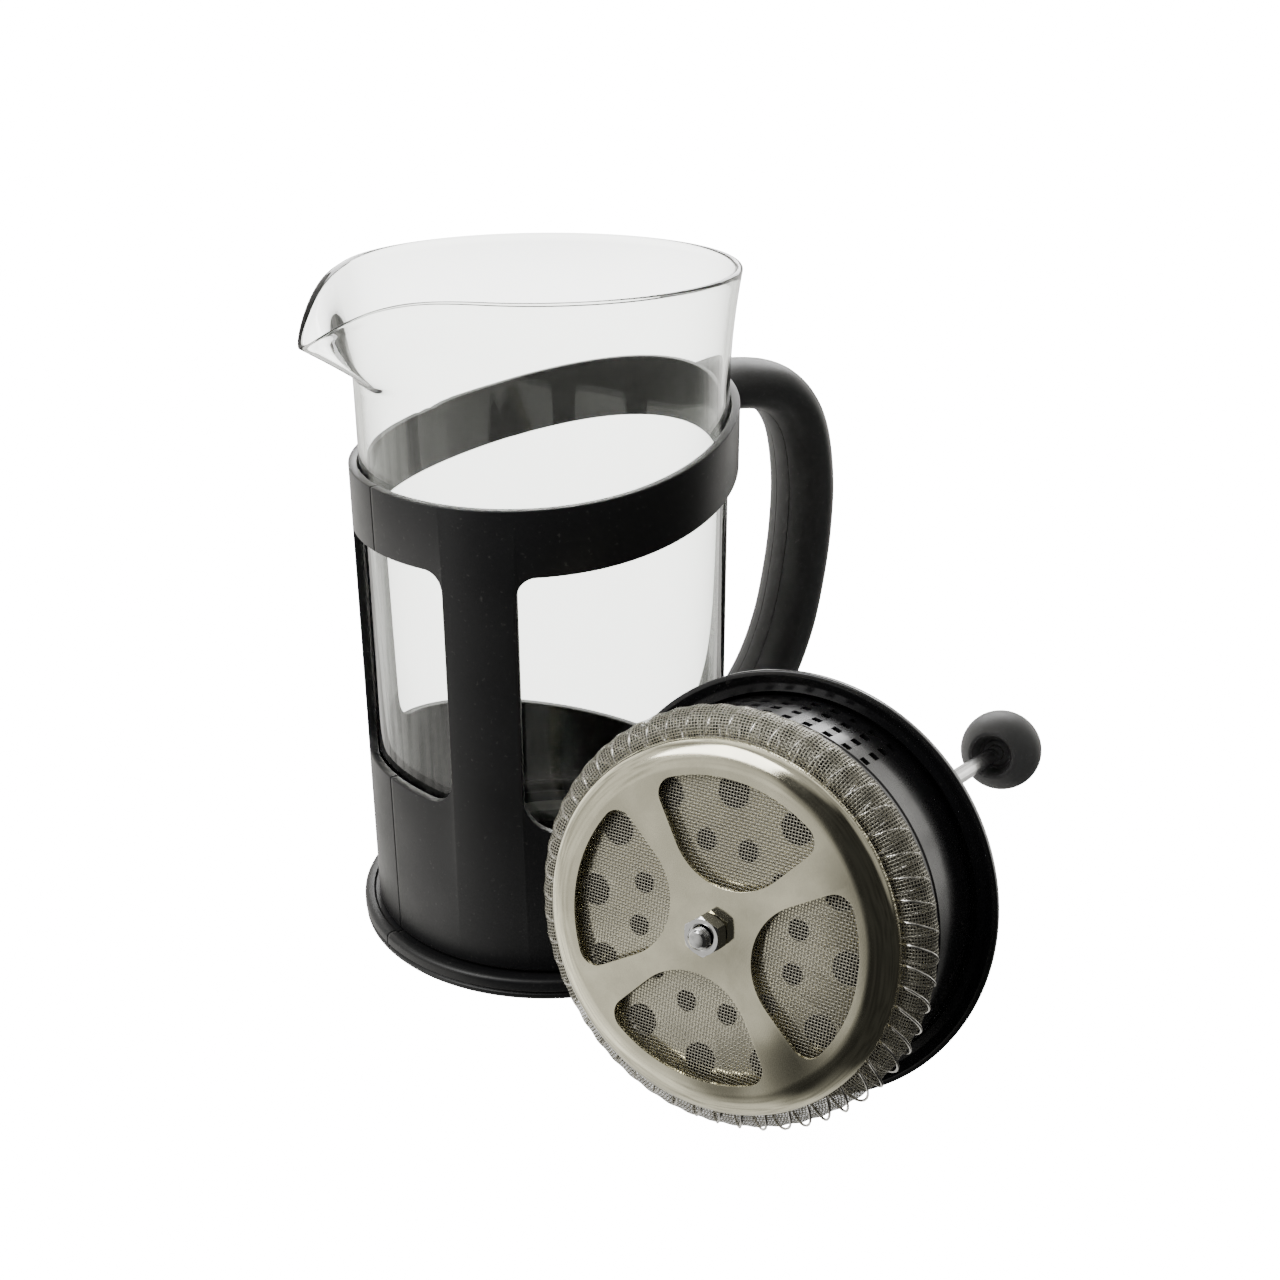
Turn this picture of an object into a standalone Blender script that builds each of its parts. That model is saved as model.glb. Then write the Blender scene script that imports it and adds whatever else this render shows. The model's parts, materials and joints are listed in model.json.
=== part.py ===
"""French press: glass beaker in a plastic holder with an ear handle, and its lid and plunger.

Frame: +Z up, origin at the centre of the holder's underside. The handle is at +X and the
spout at -X. The lid with its plunger lies on the floor beside the jug, on the edge of the
lid's brim and on the knob. Lengths are in millimetres until they are put in a mesh.
"""
import math

import bmesh
import bpy
from mathutils import Vector

MM = 0.001
GAP = 0.3                      # clearance between two pieces that touch

# Beaker
GLASS_RADIUS = 48.0
GLASS_WALL = 1.9
GLASS_FLOOR = 3.0
GLASS_HEIGHT = 173.0
GLASS_CORNER = 8.0             # outer radius between the floor and the wall
FLARE_DEPTH = 30.0             # the wall opens over this height under the rim
FLARE_OUT = 2.6
SPOUT_REACH = 15.5             # how far the tip stands out past the rim
SPOUT_DROP = 11.8              # how far the tip hangs under the rim
SPOUT_DROOP = 1.6              # power of the curve by which the lips sink to the tip
SPOUT_DEPTH = 24.0             # height of the wall drawn out into the spout
SPOUT_ROUNDING = math.radians(3.0)

# Base
BASE_LEDGE = 4.3               # the flange stands out past the holder's wall
BASE_FLANGE = 6.0
BASE_GROOVE = 0.7
BASE_GROOVE_HEIGHT = 1.0
BASE_FLOOR_TOP = 4.0
SPIGOT_WALL = 2.2
SPIGOT_RISE = 1.8              # the spigot's height over the flange
PAD_INSET = 15.0               # from the glass's outer wall to the pad
PAD_WIDTH = 6.0
PAD_HEIGHT = 3.7

# Holder: a skirt, two uprights and a band that rises towards the handle
HOLDER_CLEARANCE = 0.4
HOLDER_WALL = 2.3
SKIRT_TOP_AT_SPOUT = 52.8
SKIRT_DIP = 22.5
BAND_UNDER_RIM = 48.6          # the band's top under the glass's rim, at the spout
BAND_WIDTH = 16.8
BAND_RISE = 17.5
UPRIGHT_ANGLE = math.radians(142.3)
UPRIGHT_WIDTH = 19.3
CORNER_LOW = 8.0
CORNER_HIGH = 5.0

# Handle: points (distance out from the wall, share of the height between the roots)
HANDLE_PATH = [(14.8, 1.0), (27.3, 0.97), (35.9, 0.885), (39.7, 0.75), (39.7, 0.61),
               (37.6, 0.48), (34.2, 0.365), (28.1, 0.255), (18.8, 0.155), (9.3, 0.065)]
HANDLE_UNDER_BAND_TOP = 8.7    # centre of the upper root
HANDLE_OVER_SKIRT_EDGE = 13.2  # centre of the lower root
HANDLE_WIDTH = 21.5
HANDLE_ROOT_DEPTH = 13.0
HANDLE_GRIP_DEPTH = 15.5
HANDLE_WALL = 2.6
HANDLE_STEPS = 28
HANDLE_PLUG_STEPS = 4          # steps left solid at each root
HOLLOW_CORNER = 2.0
COVER_CROWN = 0.5              # how far the cover's middle stands out past its sides
SCREW_SHANK = 2.0
SCREW_HEAD = 3.6
SCREW_REACH = 7.0

# Lid, in its own frame: +Z along the rod to the knob, z = 0 at the brim's lower edge
BRIM_OVERHANG = 0.7            # past the glass's rim
BRIM_EDGE = 1.2
BRIM_HEIGHT = 2.4
BRIM_WALL = 1.2
BRIM_SWELL = 2.0               # how far the brim climbs to the dome's foot
LID_WALL = 2.0
LID_CROWN = 15.0
LID_BOSS_RADIUS = 8.0
LID_BOSS_TOP = 19.0
LID_BOSS_BLEND = 3.0
STRAINER_CLEARANCE = 0.9       # inside the glass
STRAINER_WALL = 1.5
STRAINER_DEPTH = 21.5
STRAINER_PLATE = 1.6
SLOT_ROWS = 4
SLOT_COLUMNS = 10
SLOT_TOP_MARGIN = 0.9
SLOT_BOTTOM_MARGIN = 2.2
SLOT_WIDTH = 2.1
SLOT_HEIGHT = 2.4
BUSH_WALL = 2.2
BUSH_FLANGE = 1.6
BUSH_LIP = 1.2

# Plunger, in the lid's frame
ROD_RADIUS = 2.5
ROD_TIP = 2.4                  # how far the rod stands out of the nut
BORE_CLEARANCE = 0.3
KNOB_SHORT = 3.0               # the ball's centre over the brim is this less than the glass
KNOB_RADIUS = 13.0
KNOB_FLAT = 10.6               # distance of the flat from the ball's centre
KNOB_RECESS_RADIUS = 6.6
KNOB_RECESS_DEPTH = 5.5
INSERT_WALL = 1.6
INSERT_LENGTH = 9.0
COIL_UNDER_STRAINER = 2.1      # gap between the strainer's edge and the mesh's roll
PLATE_THICKNESS = 0.8
CROSS_INSET = 1.2              # the cross plate is this much smaller than the coil's ring
CROSS_SHOULDER = 3.2
CROSS_WALL = 4.4
CROSS_RIM = 7.6                # from the plate's edge to its windows
WINDOW_HALF_ANGLE = math.radians(36.5)
WINDOW_CORNER = 4.0
WINDOW_HUB_INSET = 8.9         # from a window's outer side to its hub rounding's centre
WINDOW_TURN = math.radians(5.0)
SPACER_RADIUS = 6.0
SPACER_THICKNESS = 1.1
MESH_THICKNESS = 0.4
MESH_PRESS = 2.15              # the loose mesh is this much larger than the glass's inside
MESH_KNEE = 1.2                # where the mesh leaves the cross plate's wall
WRAP_START = math.radians(-112)
WRAP_END = math.radians(148)
WRAP_STEPS = 7
COIL_RADIUS = 4.0
COIL_WIRE = 0.3
COIL_TURNS = 54
MESH_WRAP = 5.05               # outer radius of the mesh around the coil
COIL_TURN_POINTS = 5
HOLE_RING_INSET = 7.6          # from the perforated plate's edge to its outer ring of holes
HOLE_RADIUS_OUTER = 3.75
HOLE_RING_STEP = 11.5
HOLE_RADIUS_INNER = 2.5
HOLES_PER_RING = 12
PERFORATED_RIM = 5.0
WASHER_RADIUS = 7.5
WASHER_THICKNESS = 1.0
COLLAR_RADIUS = 5.0
COLLAR_HEIGHT = 6.0
NUT_ACROSS_FLATS = 8.0
NUT_HEIGHT = 4.0
NUT_TURN = math.radians(20.0)

# Where the lid and plunger lie
LID_ASIDE = 0.6
LID_TUCK = 3.4                 # the lid is this much closer than edge to edge
ROD_HEADING = math.radians(23.3)

ROUND = 36                     # sides of the large round pieces
FINE_ROUND = 40                # sides of the rings that nest closely
STRAINER_SIDES = 56            # one column of slots to a side
SMALL_ROUND = 16               # sides of the small ones
PAD_SIDES = 32
HOLE_SIDES = 8

# Worked-out sizes
holder_inner = GLASS_RADIUS + HOLDER_CLEARANCE
holder_outer = holder_inner + HOLDER_WALL
skirt_bottom = BASE_FLANGE + GAP
glass_bottom = BASE_FLOOR_TOP + GAP + PAD_HEIGHT + GAP
glass_inner = GLASS_RADIUS - GLASS_WALL
rim_height = glass_bottom + GLASS_HEIGHT
rod_bore = ROD_RADIUS + BORE_CLEARANCE
bush_outer = rod_bore + BUSH_WALL
bush_seat = bush_outer + GAP
brim_radius = GLASS_RADIUS + FLARE_OUT + BRIM_OVERHANG
strainer_radius = glass_inner - STRAINER_CLEARANCE
strainer_top = BRIM_HEIGHT - BRIM_WALL / 2 - GAP
coil_ring_radius = glass_inner + MESH_PRESS - MESH_WRAP
cross_radius = coil_ring_radius - CROSS_INSET
face_depth = STRAINER_DEPTH + COIL_UNDER_STRAINER + 2 * MESH_WRAP + GAP + CROSS_WALL
knob_height = GLASS_HEIGHT - KNOB_SHORT


def clear_scene():
    """Remove whatever the opened file holds."""
    for item in list(bpy.data.objects):
        bpy.data.objects.remove(item, do_unlink=True)


def make_material(name, colour, roughness, metallic=0.0, transmission=0.0):
    """A Principled material of one finish."""
    material = bpy.data.materials.new(name)
    material.use_nodes = True
    shader = material.node_tree.nodes["Principled BSDF"]
    shader.inputs["Base Color"].default_value = (*colour, 1.0)
    shader.inputs["Roughness"].default_value = roughness
    shader.inputs["Metallic"].default_value = metallic
    shader.inputs["Transmission Weight"].default_value = transmission
    return material


def place(name, mesh, material, parent=None, smooth=True):
    """Make an object of a mesh, with its material and its parent."""
    item = bpy.data.objects.new(name, mesh)
    mesh.materials.append(material)
    bpy.context.scene.collection.objects.link(item)
    if smooth:
        mesh.shade_smooth()
        mesh.set_sharp_from_angle(angle=math.radians(35))
    item.parent = parent
    return item


def mesh_from(name, build, solid=True):
    """Run a bmesh builder and give back its mesh; a solid's faces are turned outwards."""
    shape = bmesh.new()
    build(shape)
    bmesh.ops.remove_doubles(shape, verts=shape.verts, dist=0.00001)
    if solid:
        bmesh.ops.recalc_face_normals(shape, faces=shape.faces)
    mesh = bpy.data.meshes.new(name)
    shape.to_mesh(mesh)
    shape.free()
    return mesh


def soften(corners, steps=3):
    """Round the corners (r, z, fillet) of a closed outline."""
    points = []
    count = len(corners)
    for index, (r, z, fillet) in enumerate(corners):
        here = Vector((r, z))
        if not fillet:
            points.append(here)
            continue
        before = Vector(corners[index - 1][:2]) - here
        after = Vector(corners[(index + 1) % count][:2]) - here
        half = before.angle(after) / 2
        reach = min(fillet / math.tan(half), before.length * 0.49, after.length * 0.49)
        radius = reach * math.tan(half)
        centre = here + (before.normalized() + after.normalized()).normalized() * (
            radius / math.sin(half))
        start = here + before.normalized() * reach - centre
        sweep = start.angle_signed(here + after.normalized() * reach - centre)
        for step in range(steps + 1):
            turn = -sweep * step / steps
            points.append(centre + Vector((
                start.x * math.cos(turn) - start.y * math.sin(turn),
                start.x * math.sin(turn) + start.y * math.cos(turn))))
    return points


def turned(name, outline, material, parent=None, sides=ROUND, steps=3, smooth=True):
    """Spin a closed outline of (r, z, fillet) corners round the Z axis."""
    points = soften(outline, steps)

    def build(shape):
        verts = [shape.verts.new((p.x * MM, 0, p.y * MM)) for p in points]
        edges = [shape.edges.new((verts[i - 1], vert)) for i, vert in enumerate(verts)
                 if abs(points[i - 1].x) + abs(points[i].x) > 1e-6]
        bmesh.ops.spin(shape, geom=verts + edges, axis=(0, 0, 1), cent=(0, 0, 0),
                       angle=2 * math.pi, steps=sides, use_merge=True)

    return place(name, mesh_from(name, build), material, parent, smooth)


def cap_in_strips(shape, row):
    """Cap an oval ring with upright strips, so that the cap can follow a round wall."""
    count = len(row)
    low = count * 3 // 4
    for k in range(count // 2):
        corners = [row[(low + k) % count], row[(low + k + 1) % count],
                   row[(low - k - 1) % count], row[(low - k) % count]]
        shape.faces.new(list(dict.fromkeys(corners)))


def loft(name, rings, material, parent=None, closed=False, strips=False, smooth=True):
    """Join rings of points, in metres, into a capped tube or a closed hoop."""
    def build(shape):
        rows = [[shape.verts.new(point) for point in ring] for ring in rings]
        pairs = list(zip(rows, rows[1:]))
        if closed:
            pairs.append((rows[-1], rows[0]))
        for row in (rows[0], rows[-1]):
            if strips:
                cap_in_strips(shape, row)
            elif not closed:
                shape.faces.new(row)
        for one, two in pairs:
            for i in range(len(one)):
                shape.faces.new((one[i - 1], one[i], two[i], two[i - 1]))

    return place(name, mesh_from(name, build), material, parent, smooth)


def only_cuts(item):
    """Hide an object that is only there to cut another."""
    item.hide_render = True
    item.display_type = "WIRE"
    return item


def cutter(name, mesh, parent):
    """A hidden cutting object made of a mesh."""
    item = bpy.data.objects.new(name, mesh)
    bpy.context.scene.collection.objects.link(item)
    item.parent = parent
    return only_cuts(item)


def cut(item, tool):
    """Take the tool's shape out of an object."""
    boolean = item.modifiers.new("cut", "BOOLEAN")
    boolean.operation = "DIFFERENCE"
    boolean.solver = "EXACT"
    boolean.object = tool


def prism(shape, outline, low, high):
    """Add an upright prism over a closed outline of (x, y) points."""
    base = [shape.verts.new((x * MM, y * MM, low * MM)) for x, y in outline]
    top = [shape.verts.new((x * MM, y * MM, high * MM)) for x, y in outline]
    shape.faces.new(base)
    shape.faces.new(top)
    for i in range(len(outline)):
        shape.faces.new((base[i - 1], base[i], top[i], top[i - 1]))


def circle(radius, sides, centre=(0, 0), turn=0.0):
    """Points of a circle."""
    return [(centre[0] + radius * math.cos(turn + 2 * math.pi * i / sides),
             centre[1] + radius * math.sin(turn + 2 * math.pi * i / sides))
            for i in range(sides)]


def rise(angle):
    """How far round an angle is towards the handle: 1 at the handle, 0 at the spout."""
    return (1 + math.cos(angle)) / 2


def band_top(angle):
    return rim_height - BAND_UNDER_RIM + BAND_RISE * rise(angle) ** 2


def band_bottom(angle):
    return band_top(angle) - BAND_WIDTH


def skirt_top(angle):
    return SKIRT_TOP_AT_SPOUT - SKIRT_DIP * rise(angle)


# ---------------------------------------------------------------- beaker

def spout_push(angle):
    """How far the rim stands out at an angle, with straight lips that leave the circle."""
    rim = GLASS_RADIUS + FLARE_OUT
    off = math.pi - abs(math.remainder(angle, 2 * math.pi))
    off = math.hypot(off, SPOUT_ROUNDING) - SPOUT_ROUNDING
    spread = math.acos(rim / (rim + SPOUT_REACH))
    if off >= spread:
        return 0.0
    return rim / math.cos(spread - off) - rim


def make_beaker(material):
    """The glass: a lofted wall, a flared rim and a drawn-out spout."""
    bead = GLASS_WALL / 2
    low = glass_bottom
    corner_steps = 4
    flare_steps = 6
    rows = [(0.0, low, 0.0)]
    for step in range(corner_steps + 1):
        turn = math.pi / 2 * step / corner_steps
        rows.append((GLASS_RADIUS - GLASS_CORNER * (1 - math.sin(turn)),
                     low + GLASS_CORNER * (1 - math.cos(turn)), 0.0))
    upper = []
    for step in range(flare_steps + 1):
        share = step / flare_steps
        under_rim = FLARE_DEPTH * (1 - share)
        drawn = max(0.0, 1 - under_rim / SPOUT_DEPTH)
        upper.append((FLARE_OUT * share ** 2, rim_height - bead - under_rim, drawn))
    rows += [(GLASS_RADIUS + out, z, drawn) for out, z, drawn in upper]
    rows.append((GLASS_RADIUS + FLARE_OUT - bead, rim_height, 1.0))
    rows += [(glass_inner + out, z, drawn) for out, z, drawn in reversed(upper)]
    inner_corner = GLASS_CORNER - GLASS_WALL
    floor = low + GLASS_FLOOR
    for step in range(corner_steps + 1):
        turn = math.pi / 2 * (1 - step / corner_steps)
        rows.append((glass_inner - inner_corner * (1 - math.sin(turn)),
                     floor + inner_corner * (1 - math.cos(turn)), 0.0))
    rows.append((0.0, floor, 0.0))

    def build(shape):
        grid = []
        for r, z, drawn in rows:
            ring = []
            for side in range(ROUND):
                angle = 2 * math.pi * side / ROUND
                push = spout_push(angle)
                drop = SPOUT_DROP * (push / SPOUT_REACH) ** SPOUT_DROOP * drawn
                reach = (r + push * drawn) * MM
                ring.append(shape.verts.new((reach * math.cos(angle), reach * math.sin(angle),
                                             (z - drop) * MM)))
            grid.append(ring)
        for one, two in zip(grid, grid[1:]):
            for i in range(ROUND):
                shape.faces.new((one[i - 1], one[i], two[i], two[i - 1]))

    return place("glass_beaker", mesh_from("glass_beaker", build), material)


# ---------------------------------------------------------------- holder

def window_columns(start, end):
    """Angles across a window, closer together in its corners."""
    corner = CORNER_LOW / holder_outer
    inside = end - start - 2 * corner
    count = max(2, round(inside / math.radians(7.5)))
    shares = (0.0, 0.12, 0.35, 0.65)
    angles = [start + corner * share for share in shares]
    angles += [start + corner + inside * i / count for i in range(count + 1)]
    angles += [end - corner * share for share in reversed(shares)]
    return angles


def corner_lift(distance, radius):
    """Height of a quarter-round corner at a distance from the upright."""
    if distance >= radius:
        return 0.0
    return radius - math.sqrt(radius ** 2 - (radius - distance) ** 2)


def make_holder(material):
    """The moulded frame: a sheet of columns round the axis, given its wall by Solidify."""
    half = UPRIGHT_WIDTH / 2 / holder_outer
    edge_near = UPRIGHT_ANGLE - half
    edge_far = UPRIGHT_ANGLE + half
    columns = []
    for angle in window_columns(-edge_near, edge_near):
        columns.append((angle, min(angle + edge_near, edge_near - angle)))
    for share in (1 / 3, 2 / 3):
        columns.append((edge_near + (edge_far - edge_near) * share, 0.0))
    for angle in window_columns(edge_far, 2 * math.pi - edge_far):
        columns.append((angle, min(angle - edge_far, 2 * math.pi - edge_far - angle)))
    for share in (1 / 3, 2 / 3):
        columns.append((2 * math.pi - edge_far + (edge_far - edge_near) * share, 0.0))

    def build(shape):
        grid = []
        for angle, off in columns:
            distance = max(0.0, off) * holder_outer
            heights = (skirt_bottom,
                       skirt_top(angle) + corner_lift(distance, CORNER_LOW),
                       band_bottom(angle) - corner_lift(distance, CORNER_HIGH),
                       band_top(angle))
            grid.append([shape.verts.new((holder_outer * MM * math.cos(angle),
                                          holder_outer * MM * math.sin(angle), z * MM))
                         for z in heights])
        for i, (angle, off) in enumerate(columns):
            one, two = grid[i - 1], grid[i]
            at_edges = columns[i - 1][1] < 1e-6 and off < 1e-6
            for row in (0, 1, 2):
                if row == 1 and not at_edges:
                    continue
                shape.faces.new((one[row], two[row], two[row + 1], one[row + 1]))

    mesh = mesh_from("holder_frame", build, solid=False)
    holder = place("holder_frame", mesh, material)
    wall = holder.modifiers.new("wall", "SOLIDIFY")
    wall.thickness = HOLDER_WALL * MM
    wall.offset = -1
    return holder


def make_base(material, pad_material):
    """The foot plate with its stepped flange, and the soft ring the glass stands on."""
    edge = holder_outer + BASE_LEDGE
    middle = BASE_FLANGE / 2
    spigot = holder_inner - GAP
    spigot_top = BASE_FLANGE + SPIGOT_RISE
    turned("base_plate", [
        (0, 0, 0), (edge, 0, 1.0), (edge, middle - BASE_GROOVE_HEIGHT / 2, 0),
        (edge - BASE_GROOVE, middle, 0), (edge, middle + BASE_GROOVE_HEIGHT / 2, 0),
        (edge, BASE_FLANGE, 1.0), (spigot, BASE_FLANGE, 0), (spigot, spigot_top, 0),
        (spigot - SPIGOT_WALL, spigot_top, 0), (spigot - SPIGOT_WALL, BASE_FLOOR_TOP, 0),
        (0, BASE_FLOOR_TOP, 0)], material, steps=2)
    pad_outer = GLASS_RADIUS - PAD_INSET
    pad_inner = pad_outer - PAD_WIDTH
    pad_low = BASE_FLOOR_TOP + GAP
    pad_top = pad_low + PAD_HEIGHT
    turned("beaker_pad", [(pad_inner, pad_low, 0), (pad_outer, pad_low, 0),
                          (pad_outer, pad_top, 0), (pad_inner, pad_top, 0)],
           pad_material, sides=PAD_SIDES)


# ---------------------------------------------------------------- handle

def handle_roots():
    """Heights of the centres of the handle's upper and lower roots."""
    return band_top(0) - HANDLE_UNDER_BAND_TOP, skirt_bottom + HANDLE_OVER_SKIRT_EDGE


def handle_line():
    """Stations (point, direction, share) along the handle's centre line, a smooth curve."""
    top, foot = handle_roots()
    points = [Vector((holder_outer, top))]
    points += [Vector((holder_outer + out, foot + (top - foot) * share))
               for out, share in HANDLE_PATH]
    points.append(Vector((holder_outer, foot)))
    padded = [2 * points[0] - points[1]] + points + [2 * points[-1] - points[-2]]
    stations = []
    spans = len(points) - 1
    for step in range(HANDLE_STEPS + 1):
        position = spans * step / HANDLE_STEPS
        span = min(int(position), spans - 1)
        t = position - span
        a, b, c, d = padded[span:span + 4]
        here = 0.5 * (2 * b + (c - a) * t + (2 * a - 5 * b + 4 * c - d) * t ** 2
                      + (3 * b - a - 3 * c + d) * t ** 3)
        along = 0.5 * ((c - a) + 2 * (2 * a - 5 * b + 4 * c - d) * t
                       + 3 * (3 * b - a - 3 * c + d) * t ** 2)
        stations.append((here, along.normalized(), step / HANDLE_STEPS))
    return stations


def handle_depth(share):
    """Thickness of the handle in its own plane, from root to root."""
    return HANDLE_ROOT_DEPTH + (HANDLE_GRIP_DEPTH - HANDLE_ROOT_DEPTH) * math.sin(
        math.pi * share) ** 0.8


def swept_rings(section, plug, hug):
    """Rings of a section along the handle, short of its roots by a plug of some steps.

    The end rings hug the holder when asked.
    """
    stations = handle_line()[plug:HANDLE_STEPS + 1 - plug]
    rings = []
    for index, (here, along, share) in enumerate(stations):
        outward = Vector((-along.y, along.x))
        upright = Vector((0, 1 if share < 0.5 else -1))
        squared = max(0.0, 1 - min(share, 1 - share) * HANDLE_STEPS / HANDLE_PLUG_STEPS)
        outward = outward.lerp(upright, squared).normalized()
        ring = []
        for u, v in section(share):
            point = here + outward * u
            face = math.sqrt((holder_outer + GAP) ** 2 - v ** 2)
            at_root = hug and index in (0, len(stations) - 1)
            x = face if at_root else max(point.x, face + GAP)
            ring.append((x * MM, v * MM, point.y * MM))
        rings.append(ring)
    return rings


def oval(depth, width, sides=16, power=2.6):
    """A squared-off oval, as (depth, width) offsets."""
    points = []
    for i in range(sides):
        angle = 2 * math.pi * i / sides
        c, s = math.cos(angle), math.sin(angle)
        points.append((math.copysign(abs(c) ** (2 / power), c) * depth / 2,
                       math.copysign(abs(s) ** (2 / power), s) * width / 2))
    return points


def make_handle(material):
    """The hollow grip and the strip that closes its inner side."""
    def grip(share):
        return oval(handle_depth(share), HANDLE_WIDTH)

    def hollow(share):
        deep = handle_depth(share) / 2 - HANDLE_WALL
        open_side = -handle_depth(share)
        return [(deep, HOLLOW_CORNER - channel), (deep, channel - HOLLOW_CORNER),
                (deep - HOLLOW_CORNER, channel), (open_side, channel),
                (open_side, -channel), (deep - HOLLOW_CORNER, -channel)]

    def strip(share):
        inner_side = -handle_depth(share) / 2
        side = channel - GAP
        crown = [(inner_side + COVER_CROWN * turn ** 2, side * turn) for turn in (0, 0.6, 1)]
        half = crown + [(inner_side + HANDLE_WALL, side)]
        return half + [(u, -v) for u, v in reversed(half[1:])]

    channel = HANDLE_WIDTH / 2 - HANDLE_WALL
    shell = loft("handle_shell", swept_rings(grip, 0, True), material, strips=True)
    cavity = loft("handle_cavity", swept_rings(hollow, HANDLE_PLUG_STEPS, False), material,
                  smooth=False)
    cut(shell, only_cuts(cavity))
    cover_rings = swept_rings(strip, HANDLE_PLUG_STEPS, False)
    pull = GAP * MM
    for ring, beside, in ((cover_rings[0], cover_rings[1]), (cover_rings[-1], cover_rings[-2])):
        for i, point in enumerate(ring):
            inward = (Vector(beside[i]) - Vector(point)).normalized() * pull
            ring[i] = tuple(Vector(point) + inward)
    loft("handle_cover", cover_rings, material)
    return shell


def make_screws(holder, shell, material):
    """Two countersunk screws from inside the holder into the handle's solid roots."""
    face = holder_inner + GAP
    open_end = face - SCREW_HEAD
    cone_end = face + SCREW_HEAD - SCREW_SHANK
    tip = holder_outer + SCREW_REACH
    body = [(0, face, 0), (SCREW_HEAD, face, 0), (SCREW_SHANK, cone_end, 0),
            (SCREW_SHANK, tip, 0), (0, tip, 0)]
    hole = [(0, open_end, 0), (SCREW_HEAD + GAP, open_end, 0), (SCREW_HEAD + GAP, face, 0),
            (SCREW_SHANK + GAP, cone_end, 0), (SCREW_SHANK + GAP, tip + GAP, 0),
            (0, tip + GAP, 0)]
    for name, height in zip(("handle_screw_upper", "handle_screw_lower"), handle_roots()):
        screw = turned(name, body, material, sides=SMALL_ROUND)
        tool = only_cuts(turned(name + "_hole", hole, material, sides=SMALL_ROUND))
        for item in (screw, tool):
            item.rotation_euler = (0, math.pi / 2, 0)
            item.location = (0, 0, height * MM)
        cut(holder, tool)
        cut(shell, tool)


# ---------------------------------------------------------------- lid

def dome(foot, foot_height, top, top_height, steps=3):
    """Points of a quarter ellipse from the dome's foot up to its crown, ends included."""
    return [(top + (foot - top) * math.cos(math.pi / 2 * i / steps),
             foot_height + (top_height - foot_height) * math.sin(math.pi / 2 * i / steps), 0)
            for i in range(steps + 1)]


def make_lid(frame, material):
    """The domed cover, the slotted strainer under it and the bush the rod slides in."""
    underside = strainer_top + GAP
    foot = strainer_radius + BRIM_WALL
    blend = LID_BOSS_RADIUS + LID_BOSS_BLEND
    edge = brim_radius - BRIM_EDGE
    outside = dome(foot, BRIM_HEIGHT + BRIM_SWELL, blend, LID_CROWN)
    inside = dome(foot - GAP, underside, blend, LID_CROWN - LID_WALL)
    turned("lid_cover", [(edge, 0, 0.4), (brim_radius, 0, 0.4),
                         (brim_radius, BRIM_HEIGHT, 1.2)] + outside
           + [(LID_BOSS_RADIUS, LID_CROWN + 1, 0), (LID_BOSS_RADIUS, LID_BOSS_TOP, 0.8),
              (bush_seat, LID_BOSS_TOP, 0), (bush_seat, LID_CROWN - LID_WALL, 0)]
           + inside[::-1] + [(edge, underside - BRIM_WALL / 2, 0.4)],
           material, frame, steps=2)
    make_strainer(frame, material)
    flange = bush_outer + BUSH_LIP
    low = strainer_top - STRAINER_PLATE - GAP
    high = LID_BOSS_TOP + GAP
    turned("lid_bush", [
        (rod_bore, low - BUSH_FLANGE, 0), (flange, low - BUSH_FLANGE, 0), (flange, low, 0),
        (bush_outer, low, 0), (bush_outer, high, 0), (flange, high, 0),
        (flange, high + BUSH_FLANGE, 0), (rod_bore, high + BUSH_FLANGE, 0)],
        material, frame, sides=SMALL_ROUND)


def make_strainer(frame, material):
    """The cup that hangs in the glass, with a patch of slots on one side."""
    inner = strainer_radius - STRAINER_WALL
    plate_low = strainer_top - STRAINER_PLATE
    strainer = turned("lid_strainer", [
        (bush_seat, plate_low, 0), (inner, plate_low, 0), (inner, -STRAINER_DEPTH, 0),
        (strainer_radius, -STRAINER_DEPTH, 0), (strainer_radius, strainer_top, 0),
        (bush_seat, strainer_top, 0)], material, frame, sides=STRAINER_SIDES)
    first_top = plate_low - SLOT_TOP_MARGIN
    last_top = SLOT_BOTTOM_MARGIN + SLOT_HEIGHT - STRAINER_DEPTH
    pitch = (first_top - last_top) / (SLOT_ROWS - 1)

    def slots(shape):
        facet = 2 * math.pi / STRAINER_SIDES
        near, far = inner - STRAINER_WALL, strainer_radius + STRAINER_WALL
        for column in range(SLOT_COLUMNS):
            angle = math.pi / 2 + (column - (SLOT_COLUMNS - 1) / 2) * facet
            out = Vector((math.cos(angle), math.sin(angle)))
            side = Vector((-out.y, out.x)) * SLOT_WIDTH / 2
            outline = [out * near - side, out * far - side, out * far + side, out * near + side]
            for row in range(SLOT_ROWS):
                top = first_top - pitch * row
                prism(shape, outline, top - SLOT_HEIGHT, top)

    cut(strainer, cutter("strainer_slots", mesh_from("strainer_slots", slots), frame))


# ---------------------------------------------------------------- plunger

def arc(centre, radius, start, end, steps):
    """Points along an arc, both ends included."""
    return [(centre[0] + radius * math.cos(start + (end - start) * i / steps),
             centre[1] + radius * math.sin(start + (end - start) * i / steps))
            for i in range(steps + 1)]


def window_outline():
    """One window of the cross plate: straight sides, round corners, a round inner end."""
    half = WINDOW_HALF_ANGLE
    outer = cross_radius - CROSS_RIM
    hub_centre = outer - WINDOW_HUB_INSET
    points = arc((hub_centre, 0), hub_centre * math.sin(half),
                 math.pi / 2 + half, 3 * math.pi / 2 - half, 6)
    reach = outer - WINDOW_CORNER
    turn = half - math.asin(WINDOW_CORNER / reach)
    centre = (reach * math.cos(turn), reach * math.sin(turn))
    upper = arc(centre, WINDOW_CORNER, turn, math.pi / 2 + half, 3)
    points += [(x, -y) for x, y in reversed(upper)]
    points += arc((0, 0), outer, -turn, turn, 4)[1:-1]
    return points + upper


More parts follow.
